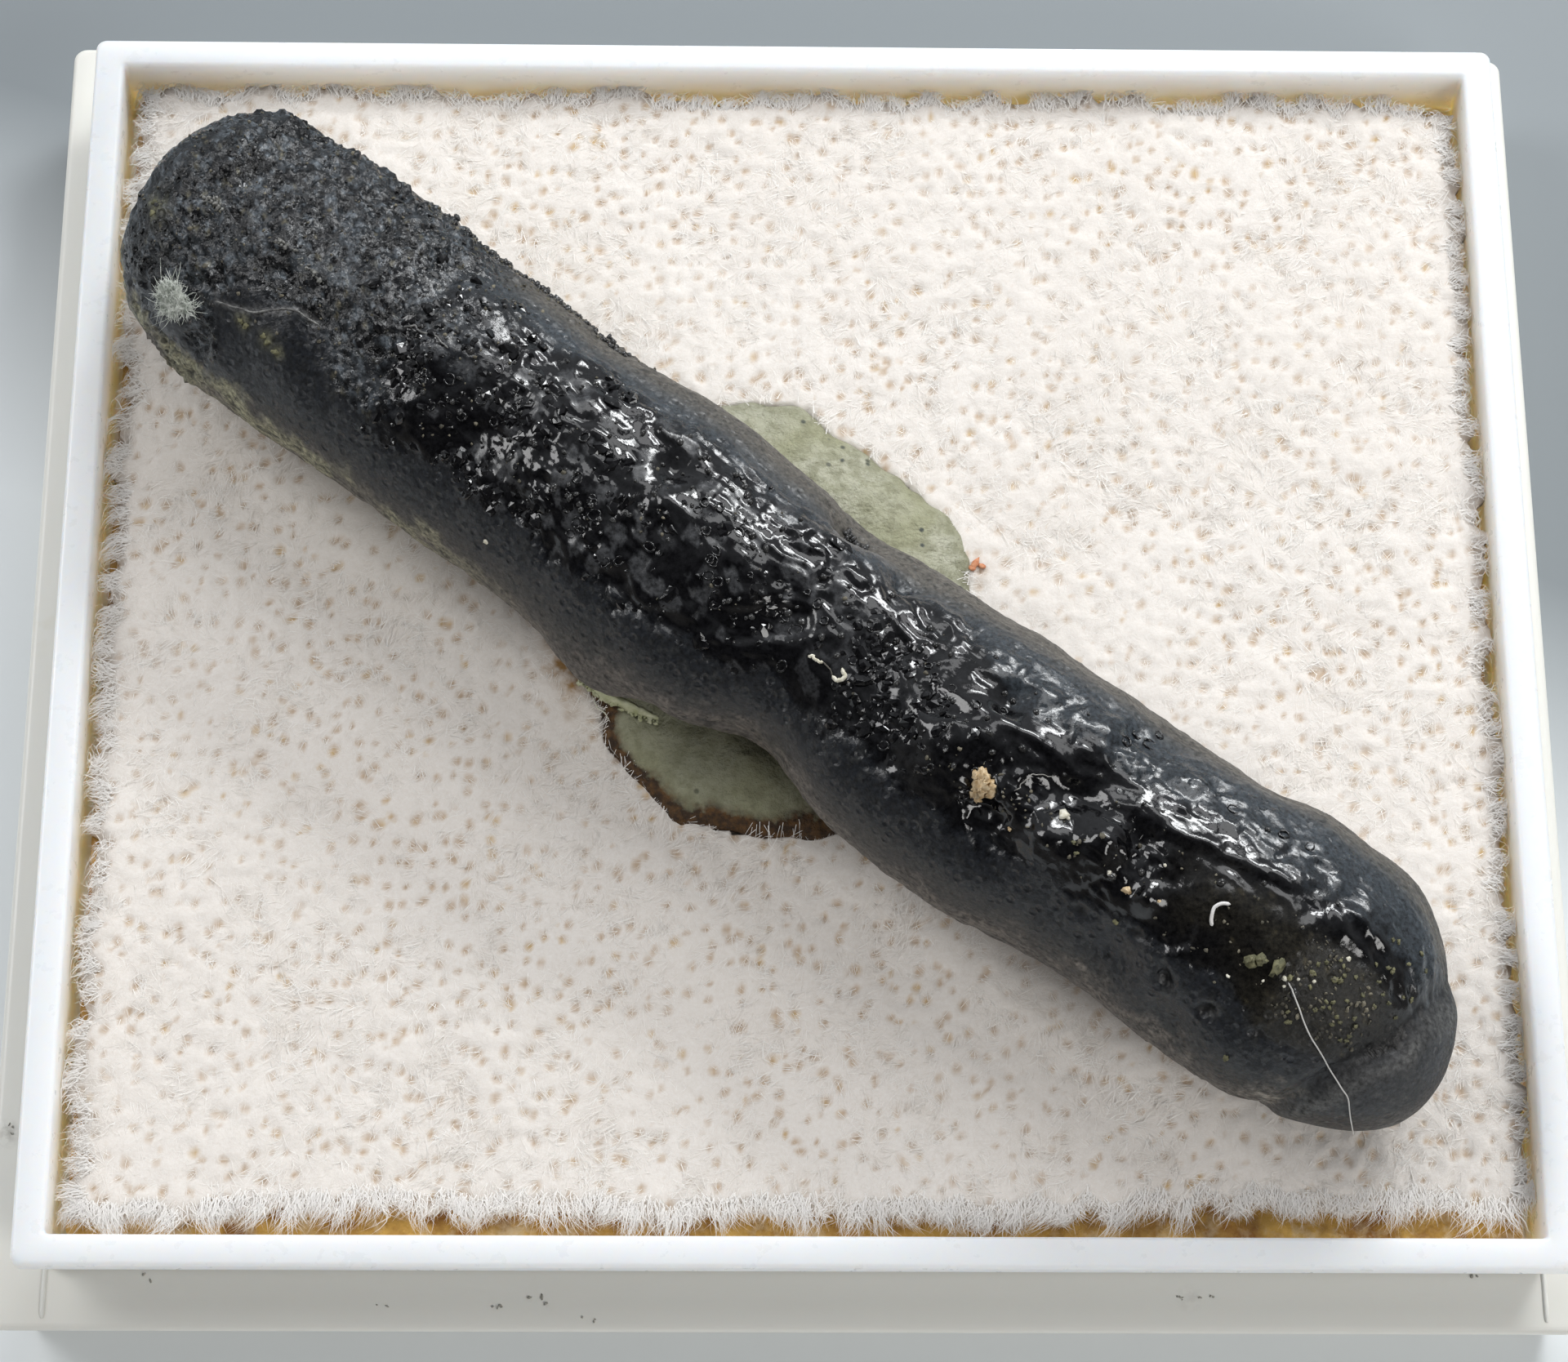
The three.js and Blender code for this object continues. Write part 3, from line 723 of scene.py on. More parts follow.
def fine_relief(along, angle, reach, points, masks):
    """Rise in mm of everything smaller than the CAD's forms."""
    pebbly, granular, dusty, upper, flank, lobe, under, calm = (masks[key] for key in SURFACES)
    degrees = np.degrees(angle)
    streaky = np.stack((along * 0.55, reach * np.cos(angle), reach * np.sin(angle)), -1)
    warp = 0.2 * np.stack([noise(points, 0.6, 20 + k) for k in range(3)], -1)
    chip, chip_gap, _ = facets(points + warp, 0.62, 31)
    small, _, _ = facets(points + warp, 0.3, 47)
    patch = ramp(noise(points, 1.9, 71), -0.4, 0.4)
    glassy = 0.16 + 0.7 * ramp(-along, -6.5, -4)
    wrinkle = 1 - np.abs(noise(streaky + warp, 0.5, 61)) * 2
    crease = 1 - np.abs(noise(streaky + warp, 0.26, 67)) * 2
    matt = 1 - calm

    # The pebbly upper right, with its satin band and the ledge's smooth line
    sheen = ramp(degrees, 50, 62) * ramp(along, 5, 8) * upper
    bent = along + 0.25 * noise(points, 0.9, 117)
    far_crest, crest_side = line_distance(bent, angle + 0.025 * noise(points, 0.6, 119), reach, LEDGE)
    smoothed = np.exp(-((far_crest / 0.55) ** 4)) * ramp(along, 4.8, 7) * ramp(-along, -17, -15)
    band = np.maximum(pebbly * (1 - ramp(degrees, 82, 98)), 0.8 * sheen)
    broken = (pebbly - 0.5 * band) * glassy * (0.3 + 0.7 * patch) * (1 - 0.9 * calm)
    rise = broken * (0.13 * chip + 0.17 * small - 0.05 * bell(chip_gap, 0.1))
    rise += (pebbly - 0.6 * band) * 0.03 * crease * matt
    rise += pebbly * (0.04 * noise(points, 1.3, 73) + 0.018 * fractal(points, 0.36, 2, 75))
    rise *= 1 - 0.75 * dusty * (1 - band)
    rise += band * (0.065 * wrinkle + 0.035 * crease) * matt * (1 - 0.84 * smoothed)
    hollow = ramp(noise(points, 1.25, 77), 0.3, 0.75)
    rise -= pebbly * 0.16 * hollow * (1 - 0.6 * band) * (1 - dusty)

    # The granular left end
    grain, grain_gap, _ = facets(points, 0.42, 83)
    speck_first, _, speck_number, _ = cells(points, 0.27, 85)
    speck = ramp(speck_number, 0.7, 0.74) * dome(speck_first, 0.42)
    rough = fractal(points, 0.9, 4, 89, 0.62)
    stretched = np.stack((along * 0.45, points[..., 1], points[..., 2]), -1)
    folds = 1 - 2 * np.abs(noise(stretched + warp, 0.55, 87))
    limb = 0.4 + 0.6 * ramp(degrees, 18, 40) * ramp(along, LEFT_END + 0.6, -19)
    coarse = 0.08 * rough + 0.15 * grain + 0.12 * small + 0.04 * speck + 0.05 * folds
    rise += limb * granular * coarse
    rise -= granular * 0.13 * ramp(noise(points, 0.8, 91), 0.35, 0.75)
    rise -= limb * granular * 0.11 * bell(grain_gap, 0.11)

    # The far side, the smooth flank and lobe, and the dusty underside
    rise += upper * (0.035 * noise(streaky, 0.8, 97) + 0.03 * wrinkle + 0.05 * small)
    edge = ramp(-along, 4, 8) * ramp(-degrees, -46, -30)
    edge_first, _, edge_number, _ = cells(points, 0.42, 101)
    rise += edge * 0.13 * ramp(edge_number, 0.45, 0.55) * dome(edge_first, 0.48)
    smooth = np.maximum(flank, lobe)
    rise += smooth * (0.035 * noise(points, 2.3, 103) + 0.012 * noise(points, 0.5, 107))
    rise += smooth * 0.006 * noise(points, 0.22, 108)
    rise += under * (0.03 * fractal(points, 0.5, 3, 109) + 0.07 * small)

    # Single features
    for at, turned, radius, height in PITS + KNOBS:
        rise += height * spot(along, angle, reach, at, turned, radius)
    for where in RAGGED_SPOTS:
        rise += 0.5 * small * spot(along, angle, reach, *where)
    rise += crest_rise(along, far_crest, crest_side)
    far, side = line_distance(along, angle, reach, LOBE_LINE)
    reached = ramp(along, 18.2, 20)
    beyond = ramp(-side * far, -0.02, 0.02)
    rise += reached * beyond * 0.11 * bell(far - 0.5, 0.42)
    rise -= reached * 0.12 * bell(far, 0.3) * (1 + 0.6 * noise(points, 0.9, 113))
    return rise


def body_colours(along, angle, reach, points, masks):
    """Base colour, roughness and grit of each point of the bitumen."""
    pebbly, granular, dusty, upper, flank, lobe, under, calm = (masks[key] for key in SURFACES)
    degrees = np.degrees(angle)
    colours = np.broadcast_to(SLATE, points.shape).copy()
    painted = {"paint": colours, "rough": np.full(along.shape, 0.4), "grit": np.full(along.shape, 0.45)}

    def lay(share, paint, rough=None, grit=None):
        """Paints over what is there by a share, and changes the roughness and grit where they are given."""
        share = np.clip(share, 0, 1)
        wide = share[..., None]
        painted["paint"] = painted["paint"] * (1 - wide) + np.asarray(paint) * wide
        for key, value in (("rough", rough), ("grit", grit)):
            if value is not None:
                painted[key] = painted[key] * (1 - share) + value * share

    _, chip_gap, chip_number = facets(points, 0.45, 131)
    mottle = fractal(points, 0.5, 3, 133)
    speckle = noise(points, 0.16, 135)
    lay(pebbly, BLACK, 0.1, 0.09)
    lay(pebbly * calm, BLACK, 0.1, 0.05)
    lay(pebbly * ramp(chip_number, 0.74, 0.8) * ramp(-along, -9, 2), (0.03, 0.031, 0.033), 0.3)
    lay(upper, SATIN * 1.5, 0.3, 0.24)
    lay(upper * ramp(degrees, 48, 64) * ramp(along, 4, 8) * 0.85, SATIN, 0.17, 0.15)
    lay(upper * ramp(-degrees, -50, -32) * 0.9, (0.066, 0.06, 0.05), 0.52, 0.5)
    lay(granular, GREY * 0.7, 0.16, 1.0)
    lay(granular * ramp(mottle + chip_number, 0.9, 1.1) * 0.7, GREY * 1.9)
    lay(granular * ramp(-mottle - 0.5 * chip_number, -0.2, 0.1) * 0.9, BLACK, 0.2)
    lay(granular * bell(chip_gap, 0.1) * ramp(mottle, -0.6, 0.0) * 0.7, BLACK, 0.3)
    # Painted glints: pale blue-grey specks for the sparkle of the granular end.
    lay(granular * ramp(speckle, 0.42, 0.55) * 0.75, GREY * 3.6)
    lay(granular * ramp(-speckle, 0.35, 0.5) * 0.9, BLACK)
    lay(granular * ramp(-chip_number, -0.2, -0.16) * 0.9, BLACK, 0.09)
    lay(dusty * (0.5 + 0.4 * ramp(mottle, -0.1, 0.6)), UMBER, 0.3, 0.12)
    lay(dusty * ramp(along, 17.8, 18.8) * 0.95, UMBER * 0.5, 0.62, 0.8)
    lay(lobe, (0.016, 0.017, 0.019), 0.5, 0.3)
    lay(lobe * ramp(speckle, 0.3, 0.8) * 0.5, (0.05, 0.05, 0.046))
    # Painted shade: black along the crease, under the rough part that stands over the lobe.
    lay(masks["crease_shade"] * 0.8, BLACK, 0.45)
    # Painted highlight: lighter grey along the ridge at the lobe's upper edge.
    brim = lobe * masks["lobe_ridge_highlight"]
    lay(brim * (0.45 + 0.35 * ramp(mottle, -0.4, 0.4)), (0.075, 0.075, 0.072), 0.65)
    fibrous = ramp(noise(np.stack((along * 1.6, angle * 9, 0 * along), -1), 1.0, 137), -0.5, 0.5)
    lay(under * (0.6 + 0.4 * fibrous), BROWN, 0.6, 0.7)
    left_under = under * ramp(-along, 4, 11)
    lay(left_under * ramp(noise(points, 0.8, 139), -0.8, 0.0), OLIVE * 1.5, 0.7)
    lay(under * ramp(along, 17, 20.5) * (0.4 + 0.6 * fibrous), (0.18, 0.165, 0.14), 0.65)
    lay(under * ramp(-speckle, 0.25, 0.6) * 0.8, BLACK)
    for at, turned, radius, _ in PITS:
        if 130 < turned < 160:
            lay(1.5 * spot(along, angle, reach, at, turned, 0.8 * radius), BLACK / 2, 0.5)
    scuff = flank * (1 - under) * (1 - lobe)
    lay(scuff * ramp(speckle, 0.4, 0.8) * 0.3, (0.05, 0.05, 0.045))
    dust = ramp(degrees, 150, 168) * scuff
    lay(dust * 0.5 * (0.4 + 0.6 * fibrous), (0.035, 0.034, 0.03), 0.5)
    sand_first, _, sand_number, _ = cells(points, 0.26, 149)
    sand = ramp(sand_number, 0.84, 0.87) * ramp(-sand_first, -0.42, -0.2)
    lay(sand * granular * 0.6, (0.15, 0.135, 0.085), 0.7)
    lay(sand * dusty * 0.25, (0.12, 0.1, 0.055), 0.7)
    for where in OLIVE_SPOTS:
        lay(spot(along, angle, reach, *where) * ramp(mottle, -0.5, 0.4), (0.12, 0.118, 0.075), 0.7)
    far, _ = line_distance(along, angle, reach, CRACK)
    lay(0.75 * bell(far, 0.06), (0.2, 0.2, 0.2), 0.5)
    return painted


def body_material():
    """Bitumen in its stored colour and gloss, with fine grain, pocks and tilted chips where it is gritty."""
    material, tree, shader, place = start_material("bitumen_surface", IOR=1.5)
    grit = stored(tree, "grit")
    share = clouds(tree, place, 0.14, 0.3, 0.7, 0.15, 2.2, 4, 0.65)
    colour = vectors(tree, "SCALE", stored(tree, "paint", "Color"), share)
    grain = noise_tex(tree, place, 0.09, 3, 0.6)
    shine = maths(tree, "MULTIPLY", stored(tree, "rough"), spread(tree, grain, 0.3, 0.7, 0.75, 1.25))
    height = maths(tree, "MULTIPLY", grain, spread(tree, grit, 0.0, 1.0))
    lifted = bump(tree, height, 0.7, 0.05)
    pocks = add(tree, "ShaderNodeTexVoronoi", {"Vector": place, "Scale": 1000 / 0.42})
    brim = spread(tree, pocks.outputs["Distance"], 0.16, 0.34)
    lifted = bump(tree, maths(tree, "MULTIPLY", brim, grit), 0.9, 0.07, lifted)
    chips = add(tree, "ShaderNodeTexVoronoi", {"Vector": place, "Scale": 1000 / 0.15})
    tilt = vectors(tree, "SUBTRACT", chips.outputs["Color"], (0.5, 0.5, 0.5))
    tilt = vectors(tree, "SCALE", tilt, maths(tree, "MULTIPLY", grit, 0.5))
    facing = vectors(tree, "NORMALIZE", vectors(tree, "ADD", lifted, tilt))
    drive(tree, shader, Base_Color=colour, Roughness=shine, Normal=facing)
    return material


def make_body():
    """The specimen. Gives its grid's places, angles, points, large-form normals and masks."""
    along, angle, reach, points = body_large()
    masks = body_masks(along, angle, reach, points)
    normal = grid_normals(points)
    centre = points.mean(1, keepdims=True)
    outward = np.sign(((points - centre) * normal).sum(-1).sum())
    normal *= outward
    rise = fine_relief(along, angle, reach, points, masks)
    rise *= np.minimum(1, end_rounding(along) * 3)
    painted = body_colours(along, angle, reach, points, masks)
    shaped = points + normal * rise[..., None]
    inner = slice(1, BODY_ROWS - 1)
    sides = shaped.shape[1]
    tips = np.stack((shaped[0].mean(0), shaped[-1].mean(0)))
    flat = np.concatenate((tips[:1], shaped[inner].reshape(-1, 3), tips[1:]))
    quads = grid_faces(BODY_ROWS - 2, sides, wrap=True) + 1
    last_fan = fan(len(flat) - 1, 1 + (BODY_ROWS - 3) * sides, sides, reverse=True)
    faces = [quads, fan(0, 1, sides), last_fan]
    if outward < 0:
        faces = [f[:, ::-1] for f in faces]

    def flatten(values):
        """Values in the order of the mesh's points."""
        rows = values[inner].reshape(-1, *values.shape[2:])
        return np.concatenate((values[0, :1], rows, values[-1, :1]))

    attributes = {key: flatten(values) for key, values in painted.items()}
    piece = build("bitumen_surface", flat, faces, body_material(), attributes)
    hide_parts("bitumen")
    return along, np.degrees(angle), shaped, normal, masks


# Where chips gather on the right half: place, angle, radius
CHIP_CLUSTERS = ((5.2, 104, 1.2), (4.6, 84, 0.8))
CHIP_TRIES = 60000
SMALL_BUBBLES = 70
CRUST_BITS = 26
# Small burst bubbles with a raised rim: place, angle, radius of the rim
BUBBLES = (
    (-5.37, 103.5, 0.15), (-4.45, 111, 0.19), (-0.92, 97.5, 0.15), (-0.27, 109.5, 0.2),
    (1.96, 108, 0.16), (2.1, 127, 0.14), (-2.5, 97.5, 0.16), (-5.4, 108, 0.12), (-3.15, 120, 0.13),
    (1.7, 76.5, 0.14), (11.64, 52.5, 0.2), (11.25, 51, 0.13), (11.64, 44, 0.13),
    (11.12, 61.5, 0.15), (14.5, 63, 0.15), (16, 61.5, 0.15), (16.75, 60, 0.13),
)


def make_bubbles():
    """Glossy rims of small burst bubbles, and on the rough left half the pale crack, a thin sharp ridge with
    a painted highlight and pale bits along crust edges.
    """
    rng = np.random.default_rng(619)
    places = list(BUBBLES)
    for _ in range(SMALL_BUBBLES):
        places.append((rng.uniform(-12, 9), rng.uniform(78, 124), rng.uniform(0.07, 0.15)))
    turn = np.linspace(0, 2 * math.pi, 13)
    loops = []
    for at, turned, radius in places:
        side, other = sideways(body_normal(at, turned))
        wide = radius * rng.uniform(0.8, 1.25)
        ragged = 1 + 0.12 * np.sin(2 * turn + rng.uniform(0, 6))
        loop = np.outer(np.cos(turn) * ragged, side) * radius + np.outer(np.sin(turn) * ragged, other) * wide
        loops.append(on_body(at, turned) + loop)
    black = plain_material("bubble_rims", (0.004, 0.004, 0.0045), (0.008, 0.008, 0.009), 0.3, 0.08)
    strands("bubble_rims", loops, [0.035], 6, black)
    # The crack is pale in itself; the ridge's pale stroke is a painted highlight.
    ridges = [surface_path(line, 0.05, 44, 0.04) for line in (CRACK, RIDGE)]
    grey = plain_material("crack_and_ridge_highlight", (0.05, 0.05, 0.05), (0.22, 0.22, 0.21), 0.15, 0.3)
    strands("crack_and_ridge_highlight", ridges, [0.03, 0.034], 5, grey)
    crust = []
    for line in CRUST_EDGES:
        at, turned = along_line(line, np.sort(rng.uniform(0, 1, CRUST_BITS))).T
        at = at + rng.normal(0, 0.05, CRUST_BITS)
        turned = turned + rng.normal(0, 0.8, CRUST_BITS)
        crust += [on_body(a, d, 0.01) for a, d in zip(at, turned)]
    sizes = rng.uniform(0.03, 0.08, (len(crust), 3))
    pale = plain_material("crust_edges", (0.09, 0.09, 0.085), (0.26, 0.26, 0.24), 0.1, 0.4)
    grains("crust_edges", crust, sizes, 631, pale, 0.5, rings=4, sides=7)


def make_chips(along, degrees, points, normals, masks):
    """Small glassy facetted chips that stand half out of the broken face, and dull grit at the left end."""
    rng = np.random.default_rng(601)
    row = np.clip(np.searchsorted(along[:, 0], rng.uniform(-21, 22, CHIP_TRIES)), 1, len(along) - 2)
    side = np.searchsorted(degrees[0], rng.uniform(14, 150, CHIP_TRIES))
    place = points[row, side]
    patch = ramp(noise(place, 1.6, 607), -0.5, 0.4)
    where = degrees[row, side]
    at = along[row, side]
    glassy = 0.06 * ramp(-at, -6, -4) + ramp(at, -14, -11) * ramp(-at, 3, 6) * patch
    for middle_at, middle_turned, radius in CHIP_CLUSTERS:
        far = (at - middle_at) ** 2 + ((where - middle_turned) * 0.075) ** 2
        glassy = glassy + np.exp(-far / radius**2)
    glassy *= masks["pebbly"][row, side] * (1 - masks["calm"][row, side]) * (1 - masks["dusty"][row, side])
    glassy *= 0.2 + 0.8 * ramp(where, 78, 95)
    dull = masks["granular"][row, side] * (0.1 + 0.9 * patch) * ramp(where, 30, 50)
    for name, share, count, small, large, paint, rough, grit in (
        ("glassy_chips", glassy, 620, 0.07, 0.3, (0.004, 0.004, 0.0045), 0.09, 0.08),
        ("dull_chips", dull, 1000, 0.03, 0.1, (0.02, 0.02, 0.02), 0.3, 0.5),
    ):
        taken = np.flatnonzero(rng.uniform(0, 1, CHIP_TRIES) < share)[:count]
        size = small + (large - small) * rng.uniform(0, 1, len(taken)) ** 2.2
        normal = normals[row[taken], side[taken]]
        tilted = normal + rng.normal(0, 0.22, normal.shape)
        tilted /= np.linalg.norm(tilted, axis=-1, keepdims=True)
        ranges = ((0.8, 1.3), (0.6, 1.0), (0.35, 0.6))
        shape = size[:, None] * np.stack([rng.uniform(*ends, len(taken)) for ends in ranges], -1)
        middle = place[taken] - normal * (0.2 * size)[:, None]
        spots, faces = lumps(middle, shape, 613, 0.3, rings=3, sides=7, normals=tilted)
        attributes = {
            "paint": np.broadcast_to(np.array(paint), spots.shape),
            "rough": np.full(len(spots), rough),
            "grit": np.full(len(spots), grit),
        }
        material = bpy.data.materials["bitumen_surface"]
        piece = build(name, spots, faces, material, attributes, smooth=False)


def body_cell(at, turned):
    """Row and column of the bitumen's grid nearest to a place and angle."""
    row = int(np.argmin(np.abs(BODY_ALONG[:, 0] - at)))
    return row, int(np.argmin(np.abs(BODY_DEGREES[0] - turned)))


def on_body(at, turned, lift=0.0):
    """The point of the bitumen's surface at a place and angle, raised by lift."""
    cell = body_cell(at, turned)
    return BODY_POINTS[cell] + BODY_NORMALS[cell] * lift


def body_normal(at, turned):
    """The outward direction of the bitumen's large form at a place and angle."""
    return BODY_NORMALS[body_cell(at, turned)]


# ---- box ----

# Stains on the plinth's ledge: place, radius, strength and colour
BASE_STAINS = (
    (-22.36, 0.6, 1.1, 0.16, (0.6, 0.5, 0.28)),
    (-22.1, -14.7, 0.5, 0.5, (0.3, 0.28, 0.24)),
    (11.1, -19.25, 0.45, 0.18, (0.35, 0.32, 0.27)),
)


def plastic(name, colour, roughness, glow):
    """Moulded plastic with faint unevenness of colour, gloss and surface."""
    values = {"Subsurface_Weight": glow, "Subsurface_Scale": 1.2 * MM, "IOR": 1.5}
    material, tree, shader, place = start_material(name, **values)
    shader.inputs["Subsurface Radius"].default_value = (1.0, 0.8, 0.65)
    tone = mixed(tree, noise_tex(tree, place, 9, 3), [c * 0.975 for c in colour], colour)
    fine = noise_tex(tree, place, 0.5, 4, 0.6)
    gloss = spread(tree, fine, 0.3, 0.7, roughness * 0.85, roughness * 1.2)
    drive(tree, shader, Roughness=gloss, Normal=bump(tree, fine, 0.12, 0.03))
    return material, tree, shader, place, tone


def tray_material():
    """White plastic, with a painted amber reflection of the adhesive sheet on its inner walls, strongest low
    down and clouded.
    """
    material, tree, shader, place, tone = plastic("tray_plastic", (0.83, 0.85, 0.87), 0.3, 1.0)
    parts = add(tree, "ShaderNodeSeparateXYZ", {0: place}).outputs
    off_x = maths(tree, "SUBTRACT", parts["X"], TRAY_CENTRE_X * MM)
    reach_x = maths(tree, "SUBTRACT", maths(tree, "ABSOLUTE", off_x), TRAY_OPENING_X / 2 * MM)
    reach_y = maths(tree, "SUBTRACT", maths(tree, "ABSOLUTE", parts["Y"]), TRAY_OPENING_Y / 2 * MM)
    inner = spread(tree, maths(tree, "MAXIMUM", reach_x, reach_y), 0.12 * MM, -0.02 * MM)
    low = spread(tree, parts["Z"], 5.75 * MM, 4.2 * MM)
    mottle = clouds(tree, place, 1.1, 0.3, 0.7, 0.7, 1.0)
    # Painted reflection: the amber light that the sheet throws onto the inner walls, clouded.
    share = maths(tree, "MULTIPLY", maths(tree, "MULTIPLY", inner, low), mottle)
    drive(tree, shader, Base_Color=mixed(tree, share, tone, (0.99, 0.76, 0.52)))
    return material


def base_material():
    """Cream plastic with a faint yellow stain and a dark smear on the left ledge."""
    material, tree, shader, place, tone = plastic("base_plastic", (0.86, 0.85, 0.79), 0.34, 0.1)
    for x, y, radius, strength, paint in BASE_STAINS:
        inputs = {0: place, 1: Vector((x, y, BASE_HEIGHT)) * MM}
        far = add(tree, "ShaderNodeVectorMath", inputs, operation="DISTANCE").outputs["Value"]
        blotch = spread(tree, far, radius * MM, radius * 0.3 * MM, 0, strength)
        ragged = clouds(tree, place, radius * 0.7, 0.42, 0.62)
        tone = mixed(tree, maths(tree, "MULTIPLY", blotch, ragged), tone, paint)
    drive(tree, shader, Base_Color=tone)
    return material


def make_tray():
    """The tray from its floor over the rim and down its outside."""

    def ring(out, z, corner):
        """A ring that stands outside the opening by a distance."""
        return rounded_ring(TRAY_OPENING_X / 2 + out, TRAY_OPENING_Y / 2 + out, corner, z, TRAY_CENTRE_X)

    rings = [ring(-inward - 0.001, TRAY_FLOOR + up, 0.12) for up, inward in quarter_turn(TRAY_FILLET)]
    rings += [ring(out, TRAY_TOP - down, 0.14) for out, down in quarter_turn(TRAY_EDGE)]
    rings += [ring(TRAY_RIM - inward, TRAY_TOP - down, 0.3) for down, inward in quarter_turn(TRAY_EDGE)]
    under = TRAY_TOP - TRAY_FLANGE
    for out, z, corner in (
        (TRAY_RIM, under + 0.05, 0.3),
        (TRAY_RIM - 0.05, under, 0.28),
        (TRAY_WALL, under, 0.3),
        (TRAY_WALL, TRAY_BOTTOM, 0.3),
    ):
        rings.append(ring(out, z, corner))
    piece = build("tray_shell", *ringed(rings), tray_material())
    sharpen(piece)
    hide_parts("tray")


def sharpen(piece):
    """Keeps sharp edges crisp on a smooth-shaded piece."""
    piece.data.set_sharp_from_angle(angle=CRISP_ANGLE)


def make_base():
    """The plinth and the two thin ridges on its ledge."""
    foot_x, foot_y = BASE_WIDTH / 2 - BASE_FOOT_INSET, BASE_DEPTH / 2 - BASE_FOOT_INSET
    top_x, top_y = BASE_WIDTH / 2 - BASE_TOP_INSET, BASE_DEPTH / 2 - BASE_TOP_INSET
    rings = [rounded_ring(foot_x, foot_y, 0.3, z) for z in (0, BASE_FOOT_HEIGHT)]
    for inset, down in quarter_turn(BASE_EDGE):
        rings.append(rounded_ring(top_x - inset, top_y - inset, 0.4, BASE_HEIGHT - down))
    points, faces = ringed(rings)
    path_y = np.linspace(-TRAY_OPENING_Y / 2, -BASE_DEPTH / 2 + 0.35, RIDGE_PLACES)
    half = np.full((RIDGE_PLACES, 1), 0.08)
    half[-3:, 0] = (0.078, 0.07, 0.045)
    angles = np.linspace(0, math.pi, RIDGE_SIDES)
    for x in RIDGES_X:
        wide = x + half * np.cos(angles)
        high = BASE_HEIGHT - 0.02 + half * 1.25 * np.sin(angles)
        ridge = np.stack((wide, np.repeat(path_y[:, None], RIDGE_SIDES, 1), high), -1).reshape(-1, 3)
        caps = np.arange(RIDGE_SIDES)
        ends = np.stack((caps[::-1], caps + (RIDGE_PLACES - 1) * RIDGE_SIDES))
        quads = grid_faces(RIDGE_PLACES, RIDGE_SIDES, wrap=True)
        faces += [shape[:, ::-1] + len(points) for shape in (quads, ends)]
        points = np.concatenate((points, ridge))
    piece = build("box_base_shell", points, faces, base_material())
    sharpen(piece)
    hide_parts("box_base")


# ---- pile fabric ----

PILE_COLUMNS = 326
PILE_ROWS = 284
PILE_BOW = 0.16
HOLE_PITCH = 0.53
KNIT_LEVEL = 4.76
FIBRE_LEVEL = 4.71
FIBRE_ARCH = 0.12
FIBRE_COUNT = 61000
FIBRE_HEADROOM = 0.005
WALL_GAP = 0.02
# Cut edges, front, left, right and back: locks of fibres, their reach and lean, the way out and along
PILE_SIDES = (
    (118, 0.5, -0.1, (0, -1), (1, 0)),
    (60, 0.4, -0.35, (-1, 0), (0, 1)),
    (46, 0.3, 0.2, (1, 0), (0, 1)),
    (70, 0.28, 0.1, (0, 1), (1, 0)),
)


def hole_strength(x, y):
    """How open the knit is at a place, 0 on the tufts and up to 1 in an open stitch."""
    flat = np.stack((x, y, np.zeros_like(x)), -1)
    bent = flat + 0.1 * np.stack([noise(flat, 0.5, 211), noise(flat, 0.5, 212), 0 * x], -1)
    bent = bent * (1.0, 0.86, 1.0)
    first, _, number, _ = cells(bent, HOLE_PITCH, 223, 0.85)
    open_share = ramp(number, -0.1, 0.35) * (0.72 + 0.28 * ramp(noise(flat, 3.5, 227), -0.5, 0.4))
    return bell(first, 0.15 + 0.13 * number) * open_share


def pile_edge(share, side):
    """How far a cut edge of the fabric wanders in or out."""
    place = np.stack((share * 40, np.full_like(share, side * 7.0), np.zeros_like(share)), -1)
    frayed = 0.34 * (np.abs(noise(place, 0.5, 241)) - 0.3)
    return 0.2 * noise(place, 0.8, 233) + 0.12 * noise(place, 2.3, 239) + frayed


def near_edge(share):
    """1 at either end of a side of the fabric, falling to 0 a little way in."""
    return 0.5 * (1 + np.cos(np.clip(np.minimum(share, 1 - share) / 0.02, 0, 1) * math.pi))


def pile_xy(u, v):
    """The plan position in the fabric's outline, u to the right and v to the back, both 0 to 1."""
    front_left, front_right, back_right, back_left = (np.array(c) for c in PILE_CORNERS)
    right, deep = u[..., None], v[..., None]
    front = front_left * (1 - right) + front_right * right
    back = back_left * (1 - right) + back_right * right
    place = front * (1 - deep) + back * deep
    bow = PILE_BOW * np.sin(math.pi * v)
    x = place[..., 0] + near_edge(u) * pile_edge(v, np.where(u < 0.5, 1, 2))
    x = x + np.where(u < 0.5, bow * (1 - 2 * u), 0)
    y = place[..., 1] + near_edge(v) * pile_edge(u, np.where(v < 0.5, 3, 4))
    return x, y


# Yellow-brown stains on the fabric beside the putty: place, radius, strength
PILE_STAINS = (
    (-6.65, -1.1, 0.42, 0.95), (-6.35, -1.75, 0.38, 0.8), (-6.95, -0.35, 0.4, 0.5),
    (-6.4, -2.6, 0.3, 0.35), (5.6, 2.0, 0.35, 0.35),
)


def pile_stain(x, y):
    """How brown the fabric is at a place, from 0 to 1."""
    total = np.zeros_like(x)
    for stain_x, stain_y, radius, strength in PILE_STAINS:
        total += strength * np.exp(-((x - stain_x) ** 2 + (y - stain_y) ** 2) / radius**2)
    return np.clip(total, 0, 1)


